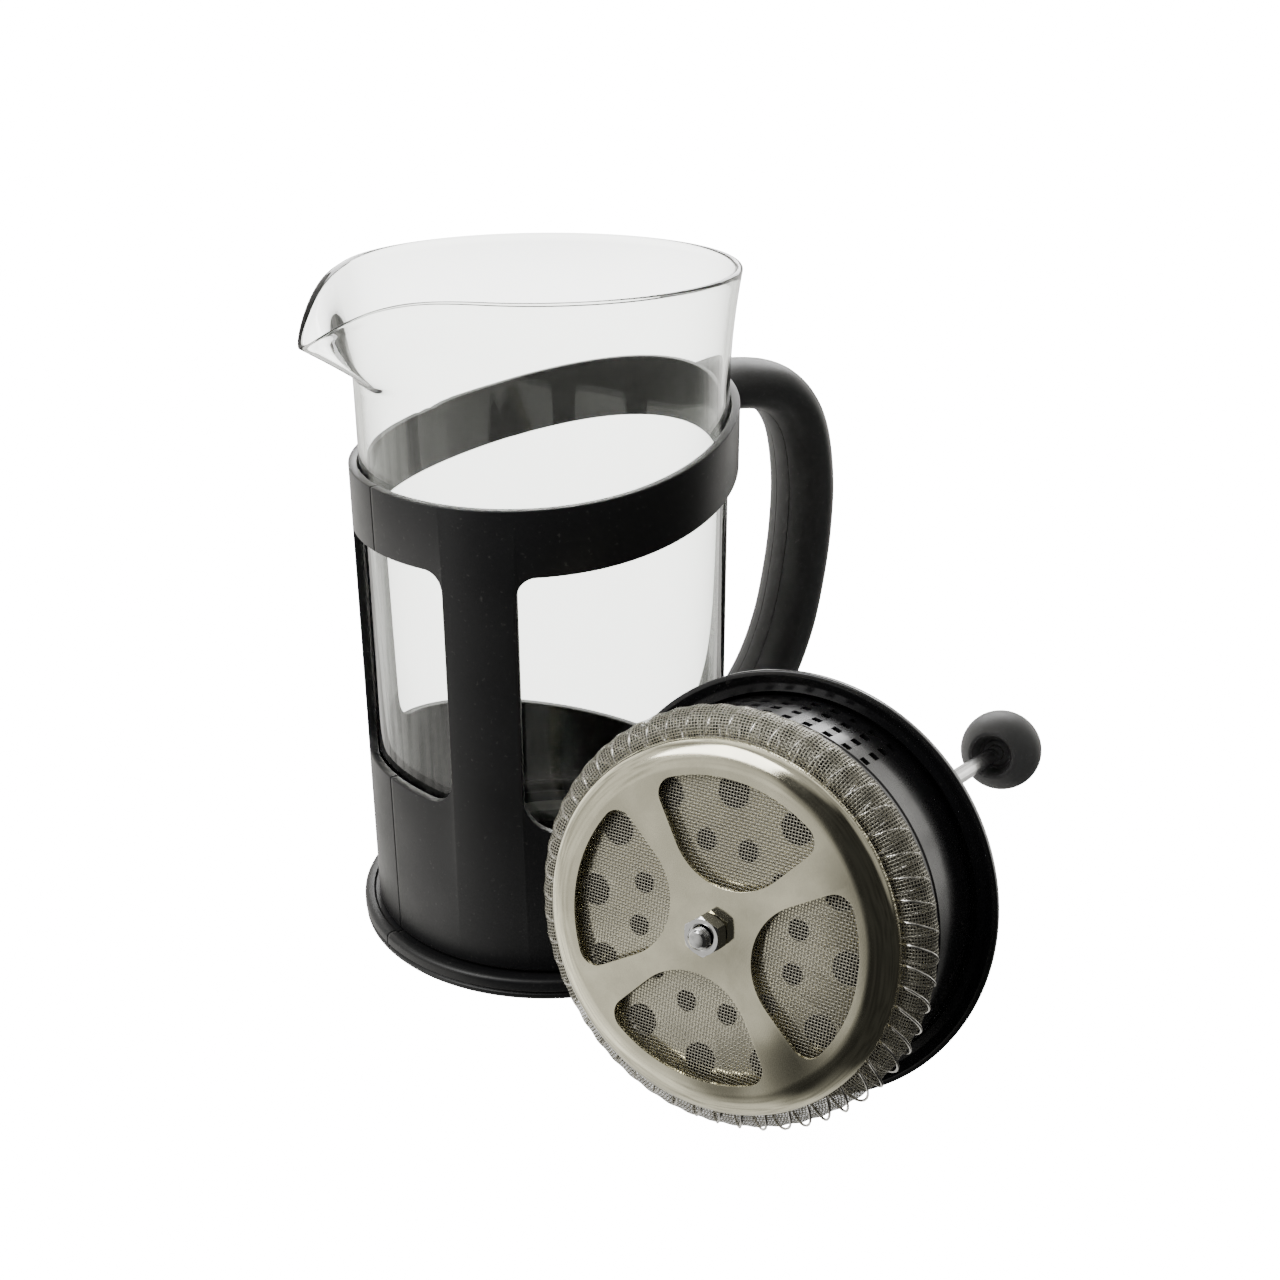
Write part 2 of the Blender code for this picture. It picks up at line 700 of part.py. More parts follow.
def make_cross_plate(frame, face, steel):
    """The pressed plate at the bottom of the stack, with four windows between its spokes."""
    inner_face = face + PLATE_THICKNESS
    inside = cross_radius - PLATE_THICKNESS
    cross = turned("cross_plate", [
        (rod_bore, face, 0), (cross_radius, face, CROSS_SHOULDER),
        (cross_radius, face + CROSS_WALL, 0), (inside, face + CROSS_WALL, 0),
        (inside, inner_face, CROSS_SHOULDER - PLATE_THICKNESS), (rod_bore, inner_face, 0)],
        steel, frame, steps=4)

    def windows(shape):
        for quarter in range(4):
            turn = WINDOW_TURN + math.pi / 2 * quarter
            outline = [(x * math.cos(turn) - y * math.sin(turn),
                        x * math.sin(turn) + y * math.cos(turn)) for x, y in window_outline()]
            prism(shape, outline, face - PLATE_THICKNESS, inner_face + PLATE_THICKNESS)

    cut(cross, cutter("cross_windows", mesh_from("cross_windows", windows), frame))


def make_mesh_screen(frame, mesh_low, ring, wire):
    """The fine mesh: a disc whose edge is rolled round the sealing coil."""
    mesh_top = mesh_low + MESH_THICKNESS

    def wrap(radius):
        return [(r, z, 0) for r, z in arc(ring, radius, WRAP_START, WRAP_END, WRAP_STEPS)]

    knee = cross_radius - PLATE_THICKNESS - GAP - MESH_THICKNESS - MESH_KNEE
    outline = [(rod_bore, mesh_top, 0), (rod_bore, mesh_low, 0), (knee, mesh_low, 0)]
    outline += wrap(MESH_WRAP)
    outline += wrap(MESH_WRAP - MESH_THICKNESS)[::-1]
    outline += [(knee - MESH_THICKNESS / 2, mesh_top, 0)]
    turned("mesh_screen", outline, wire, frame, sides=FINE_ROUND)


def make_coil(frame, ring, steel):
    """A thin wire wound round a ring, end to end."""
    rings = []
    total = COIL_TURNS * COIL_TURN_POINTS
    lift = Vector((0, 0, 1))
    for step in range(total):
        round_ring = 2 * math.pi * step / total
        round_coil = 2 * math.pi * step / COIL_TURN_POINTS
        out = Vector((math.cos(round_ring), math.sin(round_ring), 0))
        radial = out * math.cos(round_coil) + lift * math.sin(round_coil)
        centre = out * ring[0] + lift * ring[1] + radial * COIL_RADIUS
        turning = (-out * math.sin(round_coil) + lift * math.cos(round_coil)) * COIL_RADIUS
        around = Vector((-out.y, out.x, 0)) * (ring[0] / COIL_TURNS)
        side = (turning + around).normalized().cross(radial).normalized()
        rings.append([(centre + radial * x + side * y) * MM for x, y in circle(COIL_WIRE, 3)])
    loft("coil_spring", rings, steel, frame, closed=True)


def make_perforated_plate(frame, plate_low, steel):
    """The upper plate, a shallow dish with two rings of holes; gives back its top."""
    plate_top = plate_low + PLATE_THICKNESS
    rim = coil_ring_radius - COIL_RADIUS - COIL_WIRE - GAP
    perforated = turned("perforated_plate", [
        (rod_bore, plate_low, 0), (rim, plate_low, 1.0), (rim, plate_low + PERFORATED_RIM, 0),
        (rim - PLATE_THICKNESS, plate_low + PERFORATED_RIM, 0),
        (rim - PLATE_THICKNESS, plate_top, 0), (rod_bore, plate_top, 0)],
        steel, frame, steps=2)

    def holes(shape):
        outer_ring = rim - HOLE_RING_INSET
        step = 2 * math.pi / HOLES_PER_RING
        for hole in range(HOLES_PER_RING):
            for reach, radius, angle in (
                    (outer_ring, HOLE_RADIUS_OUTER, step * hole),
                    (outer_ring - HOLE_RING_STEP, HOLE_RADIUS_INNER, step * (hole + 0.5))):
                centre = (reach * math.cos(angle), reach * math.sin(angle))
                prism(shape, circle(radius, HOLE_SIDES, centre, angle),
                      plate_low - PLATE_THICKNESS, plate_top + PLATE_THICKNESS)

    cut(perforated, cutter("plate_holes", mesh_from("plate_holes", holes), frame))
    return plate_top


def make_ring(name, radius, low, high, fillet, material, frame):
    """A plain ring on the rod."""
    turned(name, [(rod_bore, low, 0), (radius, low, 0), (radius, high, fillet),
                  (rod_bore, high, 0)], material, frame, sides=SMALL_ROUND)


def make_nut(frame, nut_low, nut_top, steel):
    """The hexagonal nut that clamps the stack."""
    def hexagon(shape):
        prism(shape, circle(NUT_ACROSS_FLATS / math.sqrt(3), 6, turn=NUT_TURN),
              nut_low, nut_top)

    def bore(shape):
        prism(shape, circle(rod_bore, SMALL_ROUND), nut_low - 1, nut_top + 1)

    nut = place("hex_nut", mesh_from("hex_nut", hexagon), steel, frame, smooth=False)
    cut(nut, cutter("nut_bore", mesh_from("nut_bore", bore), frame))


def make_filter(frame, steel, wire):
    """The clamped stack at the rod's lower end; gives back where the rod ends."""
    face = -face_depth
    spacer_low = face + PLATE_THICKNESS + GAP
    spacer_top = spacer_low + SPACER_THICKNESS
    mesh_low = spacer_top + GAP
    ring = (coil_ring_radius, face + CROSS_WALL + GAP + MESH_WRAP)
    make_cross_plate(frame, face, steel)
    make_ring("hub_spacer", SPACER_RADIUS, spacer_low, spacer_top, 0, steel, frame)
    make_mesh_screen(frame, mesh_low, ring, wire)
    make_coil(frame, ring, steel)
    plate_top = make_perforated_plate(frame, mesh_low + MESH_THICKNESS + GAP, steel)
    washer_low = plate_top + GAP
    washer_top = washer_low + WASHER_THICKNESS
    make_ring("upper_washer", WASHER_RADIUS, washer_low, washer_top, 0, steel, frame)
    collar_low = washer_top + GAP
    make_ring("rod_collar", COLLAR_RADIUS, collar_low, collar_low + COLLAR_HEIGHT, 1.0,
              steel, frame)
    nut_top = face - GAP
    nut_low = nut_top - NUT_HEIGHT
    make_nut(frame, nut_low, nut_top, steel)
    return nut_low - ROD_TIP


def make_rod_and_knob(frame, rod_end, steel, brass, plastic):
    """The rod from its tip under the nut up into the knob's threaded insert."""
    flat = knob_height - KNOB_FLAT
    recess_top = flat + KNOB_RECESS_DEPTH
    insert_outer = rod_bore + INSERT_WALL
    insert_top = recess_top + GAP + INSERT_LENGTH
    rod_top = insert_top - 1.0
    turned("rod", [
        (0, rod_end, 0), (ROD_RADIUS, rod_end, 0.8), (ROD_RADIUS, rod_top, 0.4),
        (0, rod_top, 0)], steel, frame, sides=SMALL_ROUND, steps=2)
    turned("knob_insert", [
        (rod_bore, recess_top, 0), (insert_outer, recess_top, 0), (insert_outer, insert_top, 0),
        (rod_bore, insert_top, 0)], brass, frame, sides=SMALL_ROUND)
    seat = insert_outer + GAP
    rim = math.sqrt(KNOB_RADIUS ** 2 - KNOB_FLAT ** 2)
    start = math.atan2(-KNOB_FLAT, rim)
    ball = [(KNOB_RADIUS * math.cos(start + (math.pi / 2 - start) * i / 10),
             knob_height + KNOB_RADIUS * math.sin(start + (math.pi / 2 - start) * i / 10), 0)
            for i in range(10)]
    turned("knob", [
        (KNOB_RECESS_RADIUS, recess_top, 0), (KNOB_RECESS_RADIUS, flat, 0)] + ball
        + [(0, knob_height + KNOB_RADIUS, 0), (0, insert_top + GAP, 0),
           (seat, insert_top + GAP, 0), (seat, recess_top, 0)],
        plastic, frame, sides=24)


def lying_tilt():
    """Angle of the rod when the brim's edge and the knob both touch the floor."""
    reach = math.hypot(brim_radius, knob_height)
    return math.acos(KNOB_RADIUS / reach) - math.atan2(knob_height, brim_radius)


def main():
    clear_scene()
    plastic = make_material("black_plastic", (0.022, 0.022, 0.024), 0.42)
    grip = make_material("handle_plastic", (0.026, 0.026, 0.028), 0.5)
    gloss = make_material("lid_plastic", (0.016, 0.016, 0.018), 0.25)
    knob_plastic = make_material("knob_plastic", (0.035, 0.035, 0.038), 0.5)
    rubber = make_material("pad_rubber", (0.25, 0.25, 0.25), 0.7)
    glass = make_material("clear_glass", (0.95, 0.98, 0.96), 0.02, 0.0, 1.0)
    steel = make_material("polished_steel", (0.72, 0.70, 0.64), 0.16, 1.0)
    wire = make_material("mesh_wire", (0.42, 0.40, 0.35), 0.35, 1.0)
    brass = make_material("brass_insert", (0.75, 0.55, 0.22), 0.3, 1.0)

    make_beaker(glass)
    holder = make_holder(plastic)
    make_base(plastic, rubber)
    shell = make_handle(grip)
    make_screws(holder, shell, steel)

    tilt = lying_tilt()
    frame = bpy.data.objects.new("lid_frame", None)
    bpy.context.scene.collection.objects.link(frame)
    frame.rotation_euler = (math.pi / 2 + tilt, 0, ROD_HEADING + math.pi / 2)
    lid_distance = holder_outer + brim_radius - LID_TUCK
    frame.location = (LID_ASIDE * MM, -lid_distance * MM, brim_radius * math.cos(tilt) * MM)
    make_lid(frame, gloss)
    rod_end = make_filter(frame, steel, wire)
    make_rod_and_knob(frame, rod_end, steel, brass, knob_plastic)
    bpy.context.view_layer.update()


main()
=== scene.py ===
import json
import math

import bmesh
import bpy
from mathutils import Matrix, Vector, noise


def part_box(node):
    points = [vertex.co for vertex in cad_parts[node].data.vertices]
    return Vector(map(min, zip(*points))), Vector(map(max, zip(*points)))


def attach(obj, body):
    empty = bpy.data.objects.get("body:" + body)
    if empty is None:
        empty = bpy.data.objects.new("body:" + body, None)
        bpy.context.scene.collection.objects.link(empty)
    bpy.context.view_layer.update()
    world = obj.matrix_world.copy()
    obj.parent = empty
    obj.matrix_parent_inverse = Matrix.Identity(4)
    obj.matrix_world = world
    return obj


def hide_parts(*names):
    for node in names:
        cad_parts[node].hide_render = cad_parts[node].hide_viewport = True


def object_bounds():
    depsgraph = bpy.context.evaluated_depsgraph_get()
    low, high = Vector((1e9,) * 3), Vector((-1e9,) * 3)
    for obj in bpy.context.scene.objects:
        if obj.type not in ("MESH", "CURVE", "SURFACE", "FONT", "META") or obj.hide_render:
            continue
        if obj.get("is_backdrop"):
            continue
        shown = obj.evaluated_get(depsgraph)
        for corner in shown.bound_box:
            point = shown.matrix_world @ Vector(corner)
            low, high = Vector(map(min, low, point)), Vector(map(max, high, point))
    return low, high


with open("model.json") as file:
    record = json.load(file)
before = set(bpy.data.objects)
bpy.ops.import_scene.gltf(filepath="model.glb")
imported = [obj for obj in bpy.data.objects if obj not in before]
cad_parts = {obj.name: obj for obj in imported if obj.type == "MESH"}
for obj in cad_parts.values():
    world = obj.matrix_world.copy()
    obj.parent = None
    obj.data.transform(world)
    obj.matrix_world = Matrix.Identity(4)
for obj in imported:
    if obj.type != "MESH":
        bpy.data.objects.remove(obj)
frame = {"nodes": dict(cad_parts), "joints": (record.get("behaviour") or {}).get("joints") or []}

# %% [markdown]
# # A french press, piece by piece
#
# The press comes apart into a glass beaker, a black plastic holder with an ear handle, and a
# lid whose rod carries the filter. This lesson dresses a working model of it: each piece gets
# a smooth mesh and a finish of its own, in the place where the working model has it.
#
# The frame is loaded first. Its pieces say where everything is, so nothing here is placed by
# eye. Lengths are in metres, and the small named sizes are written in millimetres times MM.

MM = 0.001
TURN = 2 * math.pi
cad_box = [list(corner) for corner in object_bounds()]
print("working model's box:", cad_box)

# %% [markdown]
# ## Measuring the working model
#
# A turned piece is known by its radii and its heights. The jug's pieces turn about the
# upright axis, and the lid and filter turn about the rod, which lies at a slant. One matrix
# holds the rod's frame: its Z runs along the rod to the knob, and its Y is as upright as it
# can be. Measuring a piece in the right frame gives plain numbers again.

# %% The rod's frame and a measuring helper
joint = next(item for item in frame["joints"] if item["name"] == "plunger_turn")
rod_line = Vector(joint["axis"]).normalized()
lid_up = (Vector((0, 0, 1)) - rod_line * rod_line.z).normalized()
lid_side = lid_up.cross(rod_line)
lid_frame = Matrix((lid_side, lid_up, rod_line)).transposed().to_4x4()
lid_frame.translation = Vector(joint["pos_m"])
upright = Matrix.Identity(4)


class Span:
    """The radii and heights of a CAD node in a frame, over a stretch of heights."""

    def __init__(self, node, place=upright, low=-1.0, high=1.0):
        back = place.inverted()
        points = [back @ v.co for v in frame["nodes"][node].data.vertices]
        points = [p for p in points if low <= p.z <= high]
        self.outer = max(math.hypot(p.x, p.y) for p in points)
        self.inner = min(math.hypot(p.x, p.y) for p in points)
        self.low = min(p.z for p in points)
        self.high = max(p.z for p in points)


glass_size = Span("glass_beaker")
glass_low = Span("glass_beaker", high=glass_size.low + 12 * MM)
print(f"glass: {glass_low.outer / MM:.1f} mm radius, rim at {glass_size.high / MM:.1f} mm")

# %% [markdown]
# ## Mesh helpers
#
# Most pieces are turned. An outline of corners, each with its own rounding, is softened
# into arcs and then carried round the axis in one go. That keeps the outline short and easy
# to change: a corner is a radius, a height and a fillet. `finish` puts a mesh in its place,
# smooths it and makes it ride on its body.

# %% Outlines, turning and finishing
FILLET_STEPS = 5
ON_AXIS = 1e-7


def soften(corners):
    """Round the corners (r, z, fillet) of an outline; open ends keep no fillet."""
    points = []
    for index, (r, z, fillet) in enumerate(corners):
        here = Vector((r, z))
        if not fillet:
            points.append(here)
            continue
        before = Vector(corners[index - 1][:2]) - here
        after = Vector(corners[(index + 1) % len(corners)][:2]) - here
        half = before.angle(after) / 2
        reach = min(fillet / math.tan(half), before.length * 0.49, after.length * 0.49)
        radius = reach * math.tan(half)
        middle = (before.normalized() + after.normalized()).normalized()
        centre = here + middle * (radius / math.sin(half))
        start = here + before.normalized() * reach - centre
        sweep = start.angle_signed(here + after.normalized() * reach - centre)
        for step in range(FILLET_STEPS + 1):
            turn = -sweep * step / FILLET_STEPS
            points.append(centre + Vector((
                start.x * math.cos(turn) - start.y * math.sin(turn),
                start.x * math.sin(turn) + start.y * math.cos(turn))))
    return points


def skin(shape, rows, closed=False):
    """Faces between rows of points; each row is a closed ring or a single point."""
    rings = [[shape.verts.new(point) for point in row] for row in rows]
    pairs = list(zip(rings, rings[1:] + rings[:1])) if closed else list(zip(rings, rings[1:]))
    for one, two in pairs:
        count = max(len(one), len(two))
        for i in range(count):
            if len(one) == 1:
                corners = [one[0], two[i], two[i - 1]]
            elif len(two) == 1:
                corners = [one[i - 1], one[i], two[0]]
            else:
                corners = [one[i - 1], one[i], two[i], two[i - 1]]
            shape.faces.new(corners)


def plain_mesh(shape, name, turn_outwards=True):
    """Hand a bmesh over as a mesh, with its faces pointing outwards."""
    if turn_outwards:
        bmesh.ops.recalc_face_normals(shape, faces=shape.faces)
    mesh = bpy.data.meshes.new(name)
    shape.to_mesh(mesh)
    shape.free()
    return mesh


def hoop(radius, height, sides):
    """The points of a level circle about Z, or the one point on the axis."""
    if radius < ON_AXIS:
        return [(0, 0, height)]
    return [(radius * math.cos(TURN * i / sides), radius * math.sin(TURN * i / sides), height)
            for i in range(sides)]


def turned(corners, sides):
    """A mesh turned about Z from a closed outline of (r, z, fillet) corners."""
    shape = bmesh.new()
    rows = [hoop(r, z, sides) for r, z in soften(corners)]
    pole = len(rows[0]) == 1 and len(rows[-1]) == 1
    skin(shape, rows, closed=not pole)
    return plain_mesh(shape, "turned")


def link(name, mesh):
    item = bpy.data.objects.new(name, mesh)
    bpy.context.scene.collection.objects.link(item)
    return item


def settle(item):
    """Turn an object's modifiers into a plain mesh."""
    mesh = bpy.data.meshes.new_from_object(
        item.evaluated_get(bpy.context.evaluated_depsgraph_get()))
    item.modifiers.clear()
    item.data = mesh
    return item


def bevel(item, width, segments, angle):
    tool = item.modifiers.new("bevel", "BEVEL")
    tool.width = width
    tool.segments = segments
    tool.limit_method = "ANGLE"
    tool.angle_limit = math.radians(angle)


def finish(item, name, material, body, stands_for, place=upright, sharp=40):
    """Bring a piece into its place, smooth it, paint it and let it ride on its body."""
    item.name = name
    item.data.name = name
    item.data.transform(place)
    if not item.data.materials:
        item.data.materials.append(material)
    item.data.materials[0] = material
    item.data.shade_smooth()
    item.data.set_sharp_from_angle(angle=math.radians(sharp))
    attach(item, body)
    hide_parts(*stands_for)
    print(f"{name}: {len(item.data.polygons)} faces")


# %% [markdown]
# ## Shader helpers
#
# A node tree reads best as a short sum. `add` makes a node and plugs values or other
# nodes' outputs into it by name, and `sum_of` is one Math node. `scaled` moves a value from
# one range to another, and `speckle` is a noise pattern. `add`, `sum_of` and `scaled` work
# for shader trees and for Geometry Nodes trees alike.

# %% Node helpers
def add(tree, kind, inputs=None, **settings):
    node = tree.nodes.new(kind)
    for name, value in settings.items():
        setattr(node, name, value)
    for key, value in (inputs or {}).items():
        if isinstance(value, bpy.types.NodeSocket):
            tree.links.new(value, node.inputs[key])
        else:
            node.inputs[key].default_value = value
    return node


def sum_of(tree, operation, a, b=0.0):
    return add(tree, "ShaderNodeMath", {0: a, 1: b}, operation=operation).outputs[0]


def scaled(tree, value, low, high, start=0.0, end=1.0, **settings):
    """Bring a value from start..end into low..high."""
    return add(tree, "ShaderNodeMapRange", {
        "Value": value, "From Min": start, "From Max": end, "To Min": low, "To Max": high},
        **settings).outputs["Result"]


def speckle(tree, place, scale, detail, roughness=0.5):
    """Soft noise from 0 to 1 at a place."""
    return add(tree, "ShaderNodeTexNoise", {
        "Vector": place, "Scale": scale, "Detail": detail, "Roughness": roughness}).outputs["Fac"]


def new_group(name, inputs, outputs):
    """A shader group with named float or vector sockets."""
    group = bpy.data.node_groups.new(name, "ShaderNodeTree")
    for label, kind, value in inputs:
        socket = group.interface.new_socket(label, in_out="INPUT", socket_type=kind)
        if value is not None:
            socket.default_value = value
    for label, kind in outputs:
        group.interface.new_socket(label, in_out="OUTPUT", socket_type=kind)
    return group, group.nodes.new("NodeGroupInput"), group.nodes.new("NodeGroupOutput")


FLOAT, VECTOR = "NodeSocketFloat", "NodeSocketVector"

# %% [markdown]
# ## Shared effects
#
# Moulded plastic is never quite even. Its skin has a fine grain from the mould, its gloss
# drifts where hands and cloths have been, and a little dust settles on it. Polished steel
# has hair-fine scratches and a faint wave from pressing. Each effect is a group with its
# own scale and strength, so the same group serves the holder, the lid and the knob.

# %% Group: moulded skin
def moulded_skin():
    group, given, out = new_group("moulded_skin", [
        ("Vector", VECTOR, None), ("Grain Scale", FLOAT, 2600.0),
        ("Smooth Gloss", FLOAT, 0.3), ("Worn Gloss", FLOAT, 0.45), ("Dust", FLOAT, 0.1)],
        [("Height", FLOAT), ("Roughness", FLOAT), ("Dust Mask", FLOAT)])
    get = given.outputs
    grain = speckle(group, get["Vector"], get["Grain Scale"], detail=3.0, roughness=0.6)
    drift = speckle(group, get["Vector"], scale=38.0, detail=5.0, roughness=0.62)
    rub = scaled(group, drift, get["Smooth Gloss"], get["Worn Gloss"], start=0.35, end=0.68)
    specks = speckle(group, get["Vector"], scale=900.0, detail=2.0)
    dust = scaled(group, specks, 0.0, 1.0, start=0.66, end=0.78)
    group.links.new(grain, out.inputs["Height"])
    group.links.new(rub, out.inputs["Roughness"])
    group.links.new(sum_of(group, "MULTIPLY", dust, get["Dust"]), out.inputs["Dust Mask"])
    return group


skin_group = moulded_skin()
print("group:", skin_group.name)

# %% Group: polished metal
def polished_metal():
    group, given, out = new_group("polished_metal", [
        ("Vector", VECTOR, None), ("Wave Scale", FLOAT, 45.0), ("Scratch Scale", FLOAT, 420.0),
        ("Scratch Depth", FLOAT, 0.04), ("Bright", FLOAT, 0.1), ("Dull", FLOAT, 0.22)],
        [("Height", FLOAT), ("Roughness", FLOAT), ("Tarnish", FLOAT)])
    get = given.outputs
    wave = speckle(group, get["Vector"], get["Wave Scale"], detail=1.0)
    stretched = add(group, "ShaderNodeMapping", {
        "Vector": get["Vector"], "Scale": (1.0, 14.0, 3.0), "Rotation": (0.3, 0.5, 0.7)})
    hair = speckle(group, stretched.outputs["Vector"], get["Scratch Scale"], detail=4.0,
                   roughness=0.7)
    fine = sum_of(group, "MULTIPLY", hair, get["Scratch Depth"])
    smudge = speckle(group, get["Vector"], scale=90.0, detail=6.0, roughness=0.65)
    group.links.new(sum_of(group, "ADD", wave, fine), out.inputs["Height"])
    gloss = scaled(group, smudge, get["Bright"], get["Dull"], start=0.4, end=0.7)
    group.links.new(gloss, out.inputs["Roughness"])
    group.links.new(smudge, out.inputs["Tarnish"])
    return group


metal_group = polished_metal()
print("group:", metal_group.name)

# %% [markdown]
# ## Woven wire
#
# The filter is a plain weave of steel wire, about 14 wires to the centimetre. Thousands of
# real wires would be heavy, so the weave is drawn in the material: two sets of round wires
# cross, each dips under every second wire of the other set, and the holes between them are
# clear. The pattern reads the piece's own UV map, laid out in metres, so that it follows
# the flat disc and the rolled edge alike.

# %% Group: plain weave
def plain_weave():
    group, given, out = new_group("plain_weave", [
        ("UV", VECTOR, None), ("Pitch", FLOAT, 0.00072), ("Wire Share", FLOAT, 0.155)],
        [("Height", FLOAT), ("Wire Mask", FLOAT), ("Depth", FLOAT)])
    parts = add(group, "ShaderNodeSeparateXYZ", {"Vector": given.outputs["UV"]})
    across = sum_of(group, "DIVIDE", parts.outputs["X"], given.outputs["Pitch"])
    along = sum_of(group, "DIVIDE", parts.outputs["Y"], given.outputs["Pitch"])

    def wires(own, other, start):
        """Height and mask of one set: its wires stand side by side along `own`."""
        off = sum_of(group, "ABSOLUTE", sum_of(group, "SUBTRACT",
                                               sum_of(group, "FRACT", own), 0.5))
        mask = sum_of(group, "LESS_THAN", off, given.outputs["Wire Share"])
        share = sum_of(group, "DIVIDE", off, given.outputs["Wire Share"])
        rest = sum_of(group, "SUBTRACT", 1.0, sum_of(group, "MULTIPLY", share, share))
        round_top = sum_of(group, "SQRT", sum_of(group, "MAXIMUM", rest, 0.0))
        beat = sum_of(group, "ADD", sum_of(group, "FLOOR", own), other)
        angle = sum_of(group, "ADD", sum_of(group, "MULTIPLY", beat, math.pi), start)
        dip = sum_of(group, "MULTIPLY", sum_of(group, "SINE", angle), 0.6)
        height = sum_of(group, "MULTIPLY", sum_of(group, "ADD", sum_of(
            group, "ADD", round_top, dip), 0.7), mask)
        return height, mask

    warp, warp_mask = wires(across, along, 0.0)
    weft, weft_mask = wires(along, across, math.pi)
    height = sum_of(group, "MAXIMUM", warp, weft)
    mask = sum_of(group, "MAXIMUM", warp_mask, weft_mask)
    group.links.new(height, out.inputs["Height"])
    group.links.new(mask, out.inputs["Wire Mask"])
    # Depth is a painted shade factor: it runs from 0.25 where a wire dips under the other set up
    # to 1 where it crosses on top.
    group.links.new(scaled(group, sum_of(group, "MULTIPLY", height, 0.45), 0.25, 1.0),
                    out.inputs["Depth"])
    return group


weave_group = plain_weave()
print("group:", weave_group.name)

# %% [markdown]
# ## The finishes
#
# Black plastic comes in three degrees of gloss on this press: the satin holder, the matt
# handle and knob, and the shiny lid. They share one maker and differ in colour, gloss and
# grain. The holder also shows the thin line where the two halves of its mould met, under
# the spout. A line that thin is a bump and not a shape.

# %% Black plastics
def new_material(name):
    material = bpy.data.materials.new(name)
    material.use_nodes = True
    return material, material.node_tree, material.node_tree.nodes["Principled BSDF"]


def tinted(colour, share):
    """A colour made darker or lighter, with its alpha."""
    return (*[min(1.0, c * share) for c in colour], 1)


def relief(tree, shader, height, distance, strength=1.0):
    """Give a shader the fine relief of a height."""
    bump = add(tree, "ShaderNodeBump", {"Height": height, "Distance": distance,
                                        "Strength": strength})
    tree.links.new(bump.outputs["Normal"], shader.inputs["Normal"])


def plastic(name, colour, smooth, worn, grain=2600.0, depth=0.02 * MM, dust=0.1, coat=0.0,
            parting_line=False):
    material, tree, shader = new_material(name)
    place = add(tree, "ShaderNodeTexCoord").outputs["Object"]
    skin_node = add(tree, "ShaderNodeGroup", {
        "Vector": place, "Grain Scale": grain, "Smooth Gloss": smooth, "Worn Gloss": worn,
        "Dust": dust}, node_tree=skin_group)
    tone = speckle(tree, place, scale=24.0, detail=3.0)
    ramp = add(tree, "ShaderNodeValToRGB", {"Fac": tone})
    ramp.color_ramp.elements[0].color = tinted(colour, 0.8)
    ramp.color_ramp.elements[1].color = tinted(colour, 1.25)
    dusty = add(tree, "ShaderNodeMix", {
        "Factor": skin_node.outputs["Dust Mask"], "A": ramp.outputs["Color"],
        "B": (0.30, 0.29, 0.27, 1)}, data_type="RGBA")
    tree.links.new(dusty.outputs["Result"], shader.inputs["Base Color"])
    tree.links.new(skin_node.outputs["Roughness"], shader.inputs["Roughness"])
    height = skin_node.outputs["Height"]
    if parting_line:
        height = sum_of(tree, "ADD", height, mould_line(tree, place))
    relief(tree, shader, height, depth)
    shader.inputs["Coat Weight"].default_value = coat
    shader.inputs["Coat Roughness"].default_value = 0.12
    return material


LINE_HALF_WIDTH = 0.6 * MM
LINE_DEPTH = -26.0


def mould_line(tree, place):
    """A sunk line in the plane of the handle and spout, on the spout's side only.

    Its depth counts in heights of the plastic's grain.
    """
    parts = add(tree, "ShaderNodeSeparateXYZ", {"Vector": place})
    near = sum_of(tree, "DIVIDE", sum_of(tree, "ABSOLUTE", parts.outputs["Y"]),
                  LINE_HALF_WIDTH)
    ridge = sum_of(tree, "MAXIMUM", sum_of(tree, "SUBTRACT", 1.0, near), 0.0)
    on_side = sum_of(tree, "LESS_THAN", parts.outputs["X"], 0.0)
    return sum_of(tree, "MULTIPLY", sum_of(tree, "MULTIPLY", ridge, on_side), LINE_DEPTH)


holder_black = plastic("satin_black_plastic", (0.011, 0.011, 0.012), 0.36, 0.46,
                       dust=0.12, parting_line=True)
handle_black = plastic("matt_black_plastic", (0.040, 0.040, 0.041), 0.42, 0.54, dust=0.1)
lid_black = plastic("glossy_black_plastic", (0.007, 0.007, 0.008), 0.2, 0.32, grain=1700.0,
                    depth=0.008 * MM, dust=0.07, coat=0.3)
knob_black = plastic("charcoal_plastic", (0.075, 0.075, 0.077), 0.44, 0.56, dust=0.16)
pad_rubber = plastic("pad_rubber", (0.22, 0.22, 0.22), 0.6, 0.75, dust=0.2)

# %% [markdown]
# The metals are all one recipe too. The pressed plates reflect warmly and carry fine
# scratches, and the rod is bright and clean. The mesh's wires are duller, and their holes
# are cut by alpha.

# %% Metals
def metal(name, colour, bright, dull, wave=45.0, scratches=0.04, depth=0.06 * MM):
    material, tree, shader = new_material(name)
    polish = add(tree, "ShaderNodeGroup", {
        "Vector": add(tree, "ShaderNodeTexCoord").outputs["Object"], "Wave Scale": wave,
        "Scratch Depth": scratches, "Bright": bright, "Dull": dull}, node_tree=metal_group)
    ramp = add(tree, "ShaderNodeValToRGB", {"Fac": polish.outputs["Tarnish"]})
    ramp.color_ramp.elements[0].position = 0.3
    ramp.color_ramp.elements[0].color = tinted(colour, 1.06)
    ramp.color_ramp.elements[1].position = 0.8
    ramp.color_ramp.elements[1].color = tinted(colour, 0.82)
    tree.links.new(ramp.outputs["Color"], shader.inputs["Base Color"])
    tree.links.new(polish.outputs["Roughness"], shader.inputs["Roughness"])
    relief(tree, shader, polish.outputs["Height"], depth)
    shader.inputs["Metallic"].default_value = 1.0
    return material


